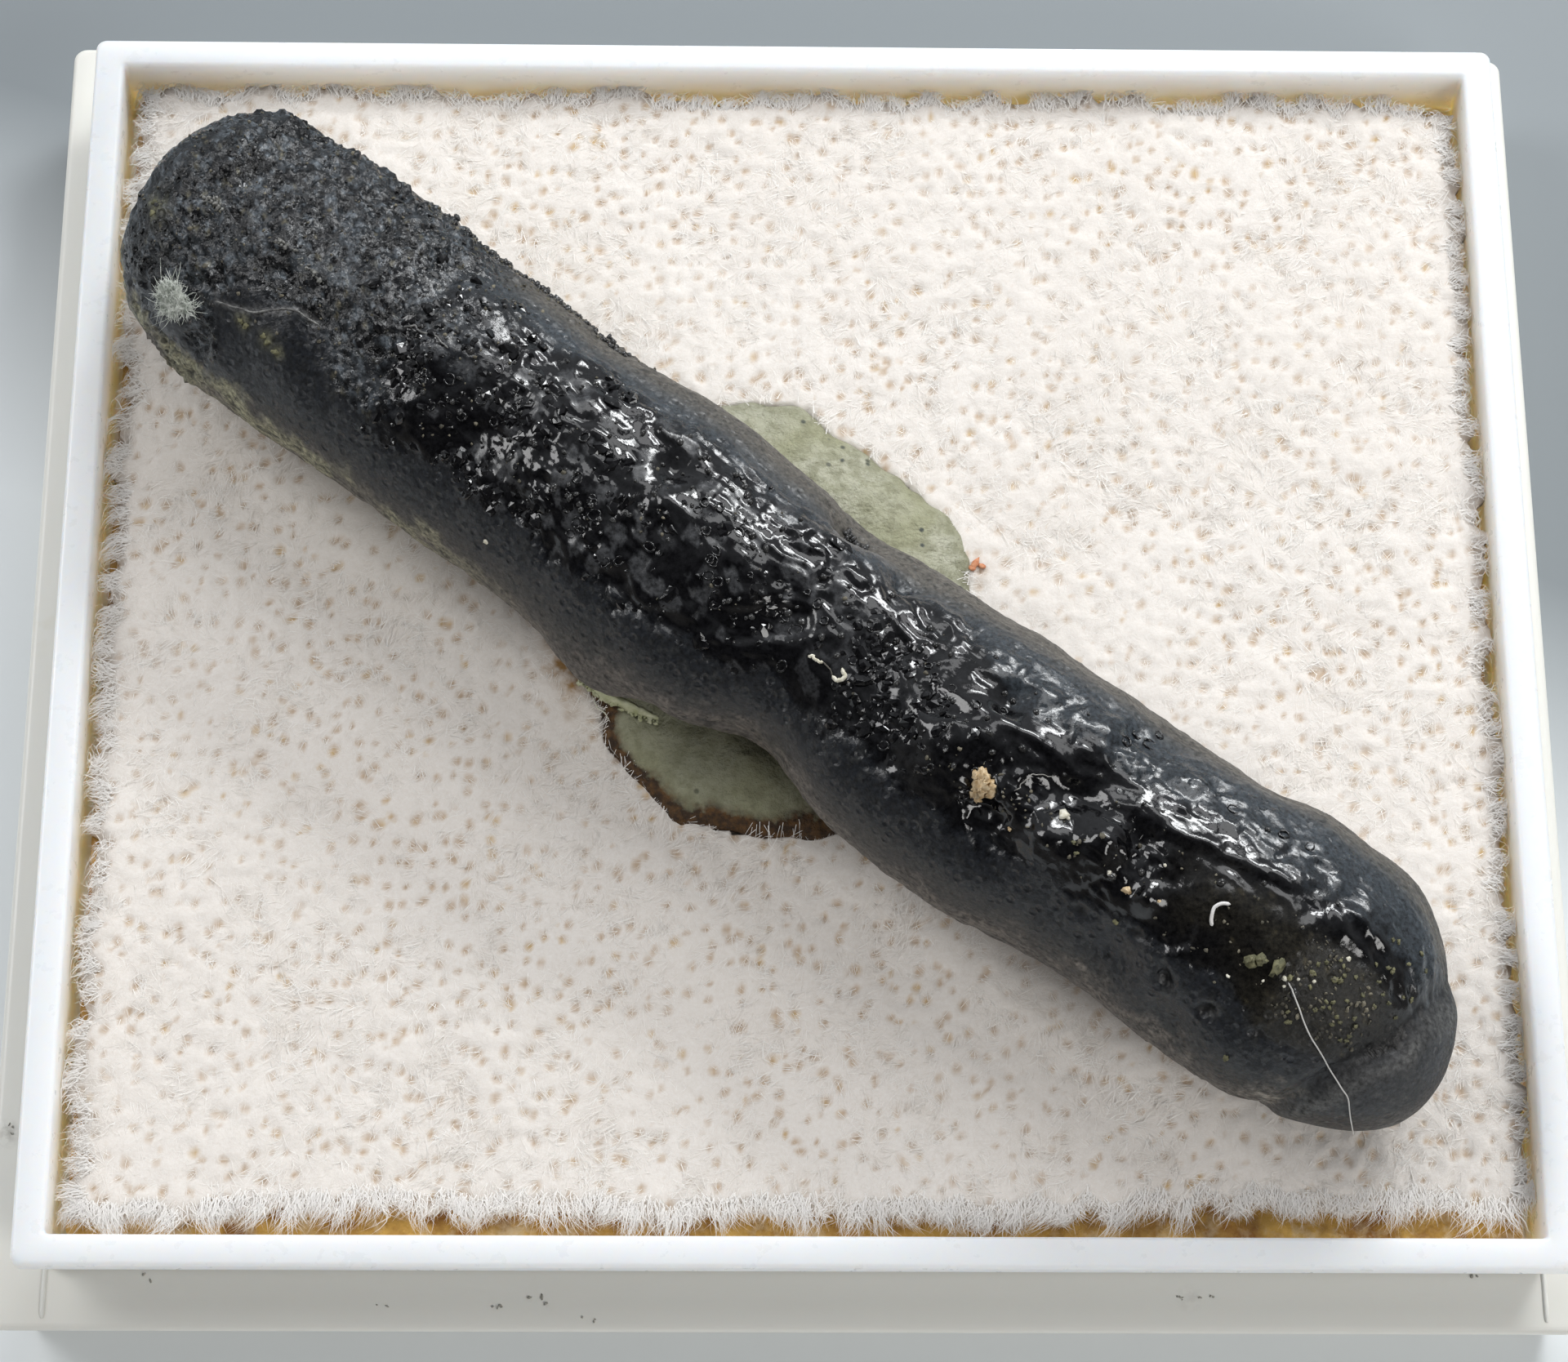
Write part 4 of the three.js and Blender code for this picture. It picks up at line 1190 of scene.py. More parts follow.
def pile_material():
    """White fabric, tan in its open stitches and brown where it is stained."""
    material, tree, shader, place = start_material("pile_fabric", Roughness=0.95, IOR=1.3)
    white = mixed(tree, noise_tex(tree, place, 6, 3), (0.78, 0.735, 0.685), (0.85, 0.815, 0.775))
    fine = clouds(tree, place, 0.12, 0.35, 0.65, 0.0, 0.25, 3, 0.7)
    white = mixed(tree, fine, white, (0.64, 0.56, 0.48))
    tan = mixed(tree, clouds(tree, place, 1.0, 0.55, 0.7, detail=2), (0.56, 0.44, 0.33), (0.6, 0.43, 0.22))
    colour = mixed(tree, spread(tree, stored(tree, "hole"), 0.12, 0.8), white, tan)
    ragged = clouds(tree, place, 0.3, 0.35, 0.65, 0.3, 1.3)
    brown = mixed(tree, maths(tree, "MULTIPLY", stored(tree, "stain"), ragged), colour, (0.34, 0.2, 0.08))
    lifted = bump(tree, noise_tex(tree, place, 0.1, 3, 0.7), 0.4, 0.04)
    drive(tree, shader, Base_Color=brown, Normal=lifted)
    return material


def make_pile():
    """The knit fabric under the fibres: its uneven top, its cut edge and a flat underside."""
    v, u = np.meshgrid(np.linspace(0, 1, PILE_ROWS), np.linspace(0, 1, PILE_COLUMNS), indexing="ij")
    x, y = pile_xy(u, v)
    flat = np.stack((x, y, np.zeros_like(x)), -1)
    hole = hole_strength(x, y)
    edge = np.minimum(np.minimum(u, 1 - u) * 40, np.minimum(v, 1 - v) * 35)
    soft = 0.035 * noise(flat, 0.28, 241) + 0.05 * noise(flat, 1.4, 251) + 0.02 * noise(flat, 0.16, 257)
    z = KNIT_LEVEL + soft - 0.09 * hole - 0.24 * (1 - ramp(edge, 0, 0.6)) ** 2
    z = np.clip(z - putty_press(x, y), PILE_BOTTOM + 0.08, PILE_TOP - 0.02)
    top = np.stack((x, y, z), -1).reshape(-1, 3)
    index = np.arange(len(top)).reshape(z.shape)
    loop = np.concatenate((index[0, :-1], index[:-1, -1], index[-1, :0:-1], index[:0:-1, 0]))
    rim = top[loop]
    rim[:, 2] = PILE_BOTTOM
    low = len(top) + np.arange(len(loop))
    skirt = np.stack((loop, low, np.roll(low, -1), np.roll(loop, -1)), -1)
    blank = np.zeros(len(loop))
    attributes = {
        "hole": np.concatenate((hole.ravel(), blank)),
        "stain": np.concatenate((pile_stain(x, y).ravel(), blank)),
    }
    sets = [grid_faces(*z.shape), skirt, low[::-1].reshape(1, -1)]
    piece = build("pile_knit", np.concatenate((top, rim)), sets, pile_material(), attributes)
    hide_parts("pile_pad")
    return piece


def fibre_material(name, low, golden_below=None):
    """White fibres clouded with a low tone, which takes over below a height where one is given."""
    material, tree, shader, place = start_material(name, Roughness=0.8, IOR=1.4)
    share = clouds(tree, place, 0.7, 0.3, 0.6, detail=2)
    if golden_below:
        height = add(tree, "ShaderNodeSeparateXYZ", {0: place}).outputs["Z"]
        high = spread(tree, height, (golden_below - 0.25) * MM, golden_below * MM)
        share = maths(tree, "MAXIMUM", high, maths(tree, "MULTIPLY", share, 0.6))
    drive(tree, shader, Base_Color=mixed(tree, share, low, (0.92, 0.9, 0.87)))
    return material


def make_fibres(name, count, seed, material):
    """Short curved fibres matted over the knit, in locks that share a direction."""
    rng = np.random.default_rng(seed)
    u, v = rng.uniform(0.004, 0.996, (2, count))
    x, y = pile_xy(u, v)
    flat = np.stack((x, y, np.zeros_like(x)), -1)
    heading = 3.4 * noise(flat, 0.8, 263) + 1.2 * noise(flat, 2.5, 269) - 1.9
    heading += rng.normal(0, 0.6, count)
    length = rng.uniform(0.35, 0.85, count)
    curl = rng.normal(0, 0.5, count)
    path = np.zeros((count, 3, 3))
    path[:, 0, :2] = np.stack((x, y), -1)
    for k, turn_share in ((1, 0.5), (2, 1.0)):
        turned = heading + curl * turn_share
        stride = (length / 2)[:, None] * np.stack((np.cos(turned), np.sin(turned)), -1)
        path[:, k, :2] = path[:, k - 1, :2] + stride
    lift = rng.uniform(0.3, 1.0, count)
    path[..., 2] = FIBRE_LEVEL + (FIBRE_ARCH * lift)[:, None] * np.array((0.0, 1.0, 0.6))
    across, deep = path[..., 0], path[..., 1]
    press = putty_press(across, deep)
    path[..., 2] -= np.where(press > 0.02, press, 0)
    crossing = hole_strength(across[:, 1:], deep[:, 1:]).max(1)
    keep = crossing < rng.uniform(0.05, 1.0, count)
    keep &= pile_stain(across[:, 1], deep[:, 1]) < rng.uniform(0.1, 0.7, count)
    share = putty_share(across, deep)
    keep &= (share[:, 1] > 0.985) & (share[:, 2] > np.where(deep[:, 2] > 0, 0.955, 0.98))
    keep &= np.abs(across - TRAY_CENTRE_X).max(1) < TRAY_OPENING_X / 2 - WALL_GAP
    keep &= np.abs(deep).max(1) < TRAY_OPENING_Y / 2 - WALL_GAP
    path[..., 2] = np.minimum(path[..., 2], PILE_TOP - FIBRE_HEADROOM)
    over = putty_top(across, deep, share) + 0.02
    path[..., 2] = np.where(share < 1, np.maximum(path[..., 2], over), path[..., 2])
    widths = rng.uniform(0.011, 0.021, count) + 0.012 * (rng.uniform(0, 1, count) < 0.12)
    twist = rng.uniform(-0.6, 0.6, count)
    piece = build(name, *ribbons(path[keep], widths[keep], twist=twist[keep]), material)
    return piece


def make_edge_fibres(material):
    """Frayed locks that hang over the adhesive along the four cut edges."""
    rng = np.random.default_rng(311)
    t = np.linspace(0, 1, 5)[:, None]
    paths = []
    widths = []
    for locks, reach, lean, out, along in PILE_SIDES:
        out, along = np.array(out), np.array(along)
        for share in (np.arange(locks) + rng.uniform(0.1, 0.9, locks)) / locks:
            count = rng.integers(16, 78)
            size = reach * rng.uniform(0.35, 1.5)
            aim = lean + rng.normal(0, 0.4)
            gather = rng.uniform(0.3, 1.15)
            at = np.clip(share + rng.normal(0, 0.0042, count), 0.001, 0.999)
            edge = np.full(count, float(out.sum() > 0))
            x, y = pile_xy(at, edge) if out[0] == 0 else pile_xy(edge, at)
            middle = np.array((x.mean(), y.mean()))
            length = size * rng.uniform(0.3, 1.15, count)
            for k in range(count):
                tuck = rng.uniform(0.02, 0.55)
                root = np.array((x[k], y[k])) - tuck * out
                drift = aim * length[k] - (root - middle) @ along * gather + rng.normal(0, 0.2)
                curl = rng.normal(0, 0.14)
                droop = rng.uniform(0.12, 0.5)
                start = rng.uniform(4.7, 4.8)
                aside = drift * t * t + curl * np.sin(math.pi * t)
                plan = root + out * (length[k] + tuck) * t + along * aside
                height = start + 0.1 * np.sin(t * 2.2) - droop * t * t
                paths.append(np.concatenate((plan, height), 1))
                widths.append(rng.uniform(0.014, 0.028))
    paths = np.array(paths)
    reach_x, reach_y = TRAY_OPENING_X / 2 - 2 * WALL_GAP, TRAY_OPENING_Y / 2 - 2 * WALL_GAP
    paths[..., 0] = np.clip(paths[..., 0], TRAY_CENTRE_X - reach_x, TRAY_CENTRE_X + reach_x)
    paths[..., 1] = np.clip(paths[..., 1], -reach_y, reach_y)
    paths[..., 2] = np.clip(paths[..., 2], ADHESIVE_TOP + 0.06, PILE_TOP - FIBRE_HEADROOM)
    piece = build("pile_edge_fibres", *ribbons(paths, np.array(widths)), material)
    return piece


# ---- putty ----

# Plan outline of the putty, anticlockwise from the right
PUTTY_OUTLINE = (
    (5.35, 1.2), (5.23, 2.0), (4.95, 2.95), (4.5, 3.75), (4.02, 4.35), (3.4, 4.95), (2.8, 5.35),
    (2.2, 5.95), (1.7, 6.25), (1.15, 6.55), (0.85, 7.05), (0.4, 7.45), (-0.7, 7.52), (-2.1, 7.45),
    (-4.2, 6.1), (-5.6, 3.9), (-6.3, 1.4), (-6.35, -0.8), (-5.6, -2.5), (-5.27, -3.75),
    (-4.68, -4.35), (-4.16, -4.8), (-3.61, -5.45), (-2.8, -6.0), (-1.62, -6.32), (-0.22, -6.4),
    (0.95, -6.18), (2.4, -5.4), (4.1, -3.5), (5.1, -1.1),
)
PUTTY_MIDDLE = (-0.55, 0.1)
PUTTY_BOTTOM = 4.5
PUTTY_RINGS = 64
PUTTY_SIDES = 190
FRINGE_CRUMBS = 60


def putty_reach(angle):
    """Distance from the putty's middle to its edge at an angle in plan."""
    corner = np.array(PUTTY_OUTLINE) - PUTTY_MIDDLE
    turned = np.arctan2(corner[:, 1], corner[:, 0])
    order = np.argsort(turned)
    far = np.hypot(corner[:, 0], corner[:, 1])[order]
    turned = turned[order]
    return np.interp(angle, turned, far, period=2 * math.pi)


def putty_share(x, y):
    """0 at the putty's middle and 1 at its edge."""
    dx, dy = x - PUTTY_MIDDLE[0], y - PUTTY_MIDDLE[1]
    return np.hypot(dx, dy) / putty_reach(np.arctan2(dy, dx))


def putty_press(x, y):
    """How far the putty's edge presses the pile down round it."""
    share = putty_share(x, y)
    return 0.05 * bell(share - 0.98, 0.03) + 0.3 * (share < 0.97)


def belly_height(x, y):
    """Height of the bitumen's underside over a point, and a great height beside it."""
    cos, sin = math.cos(AXIS_TURN), math.sin(AXIS_TURN)
    dx, dy = x - AXIS_ORIGIN[0], y - AXIS_ORIGIN[1]
    along = dx * cos + dy * sin
    across = -dx * sin + dy * cos
    far, near, crown, belly = station_at(along)
    half = (far - near) / 2 / SIDE_LEAN + 0.1
    offset = np.clip(np.abs(across - (far + near) / 2) / half, 0, 1)
    tall = (crown - belly) / 2 + 0.1
    level = (crown + belly) / 2
    height = level - tall * np.sqrt(1 - offset**2)
    return np.where(offset < 1, height - 0.22, FAR_AWAY)


def putty_top(x, y, share):
    """Height of the putty's surface, held under the bitumen."""
    flat = np.stack((x, y, 0 * x), -1)
    z = 4.72 + 0.5 * np.sqrt(np.clip(1 - share**5, 0, 1)) + 0.55 * (1 - share**1.6)
    z = z + (0.16 * noise(flat, 1.7, 347) + 0.07 * fractal(flat, 0.7, 3, 349)) * (1 - share**4)
    return np.maximum(np.minimum(z, belly_height(x, y)), 4.7)


def putty_material():
    """Pale olive putty, clouded and flecked, with a brown tarnish at its rim on the shaded side, and painted
    shade that darkens its front half to olive.
    """
    material, tree, shader, place = start_material("putty", Roughness=0.55, IOR=1.45)
    broad = noise_tex(tree, place, 2.2, 4)
    tone = mixed(tree, spread(tree, broad, 0.35, 0.68), (0.37, 0.37, 0.24), (0.58, 0.575, 0.47))
    for size, low, high, most, detail, roughness, paint in (
        (1.2, 0.55, 0.68, 0.4, 3, 0.55, (0.3, 0.305, 0.17)),
        (0.45, 0.44, 0.6, 0.6, 4, 0.65, (0.22, 0.22, 0.13)),
        (0.13, 0.6, 0.72, 0.6, 4, 0.7, (0.14, 0.14, 0.1)),
    ):
        tone = mixed(tree, clouds(tree, place, size, low, high, 0, most, detail, roughness), tone, paint)
    speck = add(tree, "ShaderNodeTexVoronoi", {"Vector": place, "Scale": 2600.0}).outputs
    dot = spread(tree, speck["Distance"], 0.26, 0.12)
    rare = spread(tree, add(tree, "ShaderNodeSeparateColor", {0: speck["Color"]}).outputs[0], 0.84, 0.87)
    tone = mixed(tree, maths(tree, "MULTIPLY", dot, rare), tone, (0.07, 0.08, 0.07))
    # The stored stain holds the real stain at the rim and, over the front half, painted shade; both darken
    # the putty to olive here.
    stain = stored(tree, "stain")
    stained = spread(tree, stain, 0.0, 0.12, 0, 0.6)
    stain_and_shade = maths(tree, "MULTIPLY", stained, spread(tree, broad, 0.35, 0.6, 0.4, 1.1))
    tone = mixed(tree, stain_and_shade, tone, (0.2, 0.205, 0.12))
    ragged = maths(tree, "MULTIPLY", stain, clouds(tree, place, 0.4, 0.3, 0.6, 0.55, 1.25, 4))
    dark = clouds(tree, place, 0.22, 0.4, 0.66, detail=4)
    tarnish = mixed(tree, dark, (0.036, 0.017, 0.005), (0.13, 0.062, 0.016))
    tone = mixed(tree, spread(tree, ragged, 0.22, 0.66), tone, tarnish)
    lifted = bump(tree, noise_tex(tree, place, 0.35, 5, 0.65), 1.0, 0.24)
    drive(tree, shader, Base_Color=tone, Normal=lifted)
    return material


def make_putty():
    """The blob of putty, as rings of points from its middle out to its rim and down."""
    share = np.linspace(0, 1, PUTTY_RINGS) ** 0.8
    angle = 2 * math.pi * np.arange(PUTTY_SIDES) / PUTTY_SIDES
    share, angle = np.meshgrid(share[1:], angle, indexing="ij")
    rim = np.stack((np.cos(angle) * 3, np.sin(angle) * 3, 0 * angle), -1)
    reach = putty_reach(angle) * (1 + 0.018 * noise(rim, 0.25, 331) + 0.035 * noise(rim, 0.7, 337))
    x = PUTTY_MIDDLE[0] + share * reach * np.cos(angle)
    y = PUTTY_MIDDLE[1] + share * reach * np.sin(angle)
    centre_z = min(6.0, float(belly_height(*(np.array([c]) for c in PUTTY_MIDDLE))[0]))
    top = np.stack((x, y, putty_top(x, y, share)), -1)
    lower = top[-1].copy()
    lower[:, 2] = PUTTY_BOTTOM
    points = np.concatenate(([(*PUTTY_MIDDLE, centre_z)], top.reshape(-1, 3), lower))
    quads = grid_faces(PUTTY_RINGS, PUTTY_SIDES, wrap=True) + 1
    bottom = (1 + (PUTTY_RINGS - 1) * PUTTY_SIDES + np.arange(PUTTY_SIDES)[::-1]).reshape(1, -1)
    # Stain: a brown band at the rim, mostly on the side away from the light, plus 0.12 of painted shade over
    # the front half.
    sunny = ramp(y + 0.35 * x, -2.5, 3)
    broad = 0.075 * (1 + 0.45 * noise(rim, 0.5, 341))
    stain = bell(1 - share, broad) * (1 - 0.9 * sunny) + 0.12 * (1 - sunny)
    stain = np.concatenate(([0], stain.ravel(), np.full(PUTTY_SIDES, 1.0)))
    faces = [quads[:, ::-1], fan(0, 1, PUTTY_SIDES, reverse=True), bottom]
    piece = build("putty_blob", points, faces, putty_material(), {"stain": stain})
    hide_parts("putty")


# Middle line of the torn strip of putty under the body, and the loose fibres beside it
FRINGE = (
    (-6.07, -1.56, 5.3), (-5.83, -1.86, 5.3), (-5.52, -2.11, 5.32), (-5.21, -2.31, 5.34),
    (-4.93, -2.46, 5.36), (-4.57, -2.63, 5.38), (-4.22, -2.81, 5.4), (-3.84, -2.96, 5.4),
)
FRINGE_FIBRES = (
    ((-5.76, -2.16, 5.2), (-5.61, -2.52, 5.15), (-5.38, -2.69, 5.15), (-5.23, -2.94, 5.1)),
    ((-4.41, -2.73, 5.2), (-4.45, -2.8, 5.2), (-4.46, -2.86, 5.15), (-4.48, -2.94, 5.1)),
)


def make_fringe():
    """A thin pale strip of putty pulled up against the body, with a torn lower edge."""
    rng = np.random.default_rng(353)
    share = np.linspace(0, 1, 70)
    path = along_line(FRINGE, share)
    turn = 2 * math.pi * np.arange(14) / 14
    blank = np.zeros((len(path), len(turn)))
    ragged = np.stack((path[:, :1] + blank, path[:, 1:2] + blank, 3 * np.cos(turn) + blank), -1)
    wide = 0.17 * np.sin(math.pi * np.clip(share * 0.92 + 0.05, 0, 1))[:, None] ** 0.6
    wide = wide * (1 + 0.45 * noise(ragged, 0.35, 355) + 0.25 * noise(ragged, 0.14, 357))
    aside = np.array((0.5, 0.86, 0.0))
    rings = path[:, None] + wide[..., None] * np.cos(turn)[:, None] * aside
    rings[..., 2] += 1.5 * wide * np.sin(turn)
    pale = plain_material("putty_fringe", (0.4, 0.42, 0.24), (0.62, 0.63, 0.45), 0.3, 0.7)
    build("putty_fringe", *ringed(list(rings)), pale)
    where = along_line(FRINGE, rng.uniform(0, 1, FRINGE_CRUMBS))
    where = where - aside * rng.uniform(0.05, 0.16, (FRINGE_CRUMBS, 1)) + rng.normal(0, 0.04, where.shape)
    sizes = rng.uniform(0.03, 0.08, (FRINGE_CRUMBS, 3))
    grains("putty_crumbs", where, sizes, 359, pale, 0.5)
    loose = plain_material("fringe_fibres", (0.5, 0.5, 0.4), (0.7, 0.7, 0.6), 0.4, 0.6)
    strands("fringe_fibres", FRINGE_FIBRES, [0.022], 5, loose)


# ---- small things on the specimen ----

LINT_STRANDS = 1700
LINT_STRAYS = 14
# Hairs: piece, material, lift with count of points and waver, radius, sides, and places and angles
HAIRS = (
    (
        "fine_hair",
        ("hair", (0.5, 0.49, 0.47), (0.7, 0.69, 0.66), 0.6, 0.4),
        (0.16, 60, 0.05),
        0.021,
        6,
        (
            (18.2, 113), (18.45, 115.5), (18.81, 120), (19.5, 127.5), (20.16, 136.5),
            (20.59, 142.5), (21.08, 148.5), (21.45, 162), (21.71, 193.5),
        ),
    ),
    (
        "short_white_fibre",
        ("white_fibre", (0.7, 0.68, 0.66), (0.85, 0.84, 0.83), 0.4, 0.5),
        (0.12, 20, 0.0),
        0.05,
        8,
        ((15.78, 112.5), (15.62, 110.5), (15.55, 107.5), (15.58, 105), (15.72, 103), (15.9, 101.8)),
    ),
    (
        "wisp",
        ("wisp", (0.16, 0.155, 0.14), (0.32, 0.31, 0.29), 0.3, 0.5),
        (0.14, 18, 0.05),
        0.016,
        5,
        ((9.5, 108), (9.5, 105), (9.55, 102), (9.65, 99), (9.8, 96.5), (10.05, 95)),
    ),
)
# Crumbs: place, angle, radius
TAN_CRUMBS = (
    (8.5, 109.5, 0.24), (8.55, 112, 0.26), (8.6, 114.5, 0.25), (8.62, 117, 0.19), (8.68, 119, 0.13),
    (8.8, 110.5, 0.19), (8.85, 113, 0.16), (8.4, 111, 0.16), (13.35, 120, 0.12), (14.25, 116, 0.05),
    (9.9, 124, 0.06),
)
PALE_CRUMBS = (
    (10.86, 106.5, 0.17), (11.05, 107.5, 0.08), (-6.81, 150, 0.08), (18.06, 114, 0.08),
    (18.2, 115.5, 0.05), (17.66, 118.5, 0.05), (18.45, 111, 0.05), (18.81, 108, 0.06),
    (19.27, 93, 0.08), (16.88, 126, 0.06), (13.87, 103.5, 0.05), (12.7, 117, 0.07),
    (3.9, 109, 0.07),
)
CURL_LEFT = ((2.7, 114.5), (2.8, 114), (2.95, 113.8), (3.12, 112.5))
CURL_RIGHT = ((3.6, 107.8), (3.78, 109), (3.82, 111.5), (3.7, 113.5), (3.53, 114))
CURL_LINK = ((3.12, 112.5), (3.25, 112.4), (3.4, 112.6), (3.53, 114))
# Olive lumps: place, angle, lift and half sizes. Olive grains: place, angle, the large ones first
OLIVE_LUMPS = (
    (17.2, 114.5, 0.08, (0.2, 0.16, 0.14)),
    (17.35, 112.6, 0.08, (0.16, 0.14, 0.12)),
    (17.75, 111.5, 0.06, (0.3, 0.14, 0.1)),
)
OLIVE_GRAINS = (
    (-16.2, 131.5), (-16.0, 132.5), (-15.3, 131), (-15.1, 132), (-14.8, 133.5), (-20.4, 118), (-20.2, 121),
    (19.16, 103.5), (19.3, 102), (18.75, 127.5), (17.93, 157.5), (18.6, 106), (18.25, 112.5), (13.55, 135),
    (11.5, 115), (11.8, 117),
)
OLIVE_LARGE = 14
# Scattered grains: count, range along the axis and range of angles
SAND_GROUPS = (
    (240, (-21.5, -9), (20, 128)), (60, (-14.5, -6), (16, 30)), (70, (11.5, 20.5), (90, 132)),
    (50, (7, 12), (104, 122)), (90, (18.3, 20.6), (92, 128)), (50, (-12, 6), (60, 125)),
)
GLINT_GROUPS = (
    (150, (-14, -7), (15, 24)), (160, (-13, 8), (58, 112)), (24, (8, 20), (62, 120)),
    (50, (1.1, 1.8), (26, 36)),
)
# Specks on the plinth's ledge: place, radius, count. The orange speck: places and half sizes
LEDGE_SPECKS = (
    (-18.0, -18.8, 0.07, 2), (-11.35, -19.65, 0.06, 2), (-8.0, -19.6, 0.07, 4),
    (-7.0, -19.4, 0.1, 3), (-5.7, -19.95, 0.06, 3), (10.8, -19.3, 0.05, 4), (11.5, -19.2, 0.06, 4),
    (19.1, -18.55, 0.08, 2), (-21.9, -14.6, 0.06, 4),
)
ORANGE_LUMPS = (
    ((5.42, 2.2, 4.84), (0.2, 0.11, 0.06)),
    ((5.6, 2.1, 4.83), (0.12, 0.09, 0.05)),
    ((5.32, 2.05, 4.83), (0.09, 0.09, 0.05)),
)


def surface_path(places, lift, count, wave=0.0):
    """A strand laid over the surface through places, with a slight waver."""
    fine = np.linspace(0, 1, count)
    path = along_line([on_body(at, turned, lift) for at, turned in places], fine)
    for _ in range(3):
        path[1:-1] = (path[:-2] + 2 * path[1:-1] + path[2:]) / 4
    waver = np.stack((fine * 9, np.full(count, lift * 50), np.zeros(count)), -1)
    path[:, 0] += wave * noise(waver, 1.0, 401)
    path[:, 1] += wave * noise(waver, 1.0, 409)
    return path


def make_hair():
    """The fine hair at the right end, a short white fibre and a dim wisp."""
    for name, paint, shape, radius, sides, places in HAIRS:
        strands(name, [surface_path(places, *shape)], [radius], sides, plain_material(*paint))


def make_lint():
    """A fluffy tuft of lint near the left end."""
    rng = np.random.default_rng(421)
    centre = on_body(-18.15, 139, 0.1)
    normal = body_normal(-18.2, 139)
    first, second = sideways(normal, (0.0, 0.0, 1.0))
    tufts = rng.normal(0, 0.24, (12, 2))
    t = np.linspace(0, 1, 5)[:, None]
    paths = []
    for k in range(LINT_STRANDS):
        stray = k < LINT_STRAYS
        root = tufts[rng.integers(len(tufts))] + rng.normal(0, 0.09, 2)
        away = root / (np.linalg.norm(root) + 0.05)
        heading = rng.normal(0, 1, 2) + away * (1.6 if stray else 0.2)
        heading /= np.linalg.norm(heading)
        length = rng.uniform(0.35, 0.7) if stray else rng.uniform(0.1, 0.32)
        climb = rng.uniform(-0.1, 1.0) * (1 - 0.8 * stray)
        bend = rng.normal(0, 0.9) * length
        flat = root + heading * length * t + np.array((-heading[1], heading[0])) * bend * t * t
        high = rng.uniform(0, 0.24) + climb * length * (t - 0.5 * t * t)
        paths.append(centre + first * flat[:, :1] + second * flat[:, 1:] + normal * high)
    lint = plain_material("lint", (0.36, 0.4, 0.34), (0.93, 0.95, 0.9), 0.16, 0.9)
    strands("lint_tuft", paths, [0.0085], 3, lint)
    spots = tufts[rng.integers(len(tufts), size=16)] + rng.normal(0, 0.08, (16, 2))
    spots = centre + spots[:, :1] * first + spots[:, 1:] * second + 0.04 * normal
    grains("lint_core", spots, rng.uniform(0.03, 0.06, (16, 3)), 427, lint, 0.5)


def scatter_on_body(rng, groups):
    """Random places on parts of the surface: count, range along the axis and range of angles of each."""
    where = []
    for count, along, turned in groups:
        at = rng.uniform(*along, count)
        degrees = rng.uniform(*turned, count)
        where += [on_body(a, d) for a, d in zip(at, degrees)]
    return np.array(where)


def crumbs(name, table, lift, shape, seed, material, **settings):
    """Crumbs from a table of place, angle and radius, each sunk and shaped in proportion to its radius."""
    places = [on_body(at, turned, radius * lift) for at, turned, radius in table]
    sizes = [[radius * part for part in shape] for _, _, radius in table]
    grains(name, places, sizes, seed, material, **settings)


def make_curl(pale):
    """The two halves of the pale curl and the dark link between them."""
    halves = [surface_path(CURL_LEFT, 0.12, 16, 0.03), surface_path(CURL_RIGHT, 0.12, 16, 0.02)]
    strands("pale_curl", halves, [0.045, 0.06], 6, pale)
    dark = plain_material("curl_link", (0.06, 0.055, 0.045), (0.14, 0.13, 0.11), 0.2, 0.7)
    strands("curl_link", [surface_path(CURL_LINK, 0.1, 12)], [0.02], 5, dark)


def make_grains():
    """Loose crumbs and grains on the specimen, and its own glassy grains."""
    rng = np.random.default_rng(433)
    tan = plain_material("tan_crumbs", (0.42, 0.27, 0.12), (0.72, 0.58, 0.38), 0.18, 0.8)
    crumbs("tan_crumbs", TAN_CRUMBS, 0.4, (1, 0.75, 0.7), 439, tan, roughness=0.5, rings=7, sides=12)
    pale = plain_material("pale_crumbs", (0.55, 0.52, 0.4), (0.8, 0.78, 0.68), 0.12, 0.7)
    crumbs("pale_crumbs", PALE_CRUMBS, 0.3, (1, 0.8, 0.6), 443, pale)
    make_curl(pale)
    olive = plain_material("olive_grains", (0.07, 0.07, 0.035), (0.2, 0.19, 0.1), 0.15, 0.7)
    places = [on_body(at, turned, lift) for at, turned, lift, _ in OLIVE_LUMPS]
    sizes = [size for _, _, _, size in OLIVE_LUMPS]
    few = list(OLIVE_GRAINS)
    few += [(rng.uniform(19.8, 21.3), rng.uniform(62, 98)) for _ in range(16)]
    few += [(rng.uniform(18.6, 20.5), rng.uniform(94, 124)) for _ in range(24)]
    places += [on_body(at, turned, 0.01) for at, turned in few]
    sizes += [(0.1, 0.075, 0.045)] * OLIVE_LARGE + [(0.065, 0.05, 0.035)] * (len(few) - OLIVE_LARGE)
    grains("olive_grains", places, sizes, 449, olive, 0.55, rings=6, sides=10)
    sand = plain_material("sand_grains", (0.03, 0.028, 0.02), (0.2, 0.18, 0.13), 0.5, 0.7)
    where = scatter_on_body(rng, SAND_GROUPS)
    sizes = rng.uniform(0.15, 0.26, (len(where), 1)) ** 2 * rng.uniform(0.5, 1.4, (len(where), 3))
    grains("sand_grains", where, sizes, 457, sand, rings=3, sides=6)
    glint = plain_material("glassy_grains", (0.02, 0.02, 0.02), (0.05, 0.05, 0.05), 0.3, 0.12)
    where = scatter_on_body(rng, GLINT_GROUPS)
    sizes = rng.uniform(0.05, 0.13, (len(where), 1)) * rng.uniform(0.6, 1.2, (len(where), 3))
    grains("glassy_grains", where, sizes, 461, glint, 0.2, rings=4, sides=8)


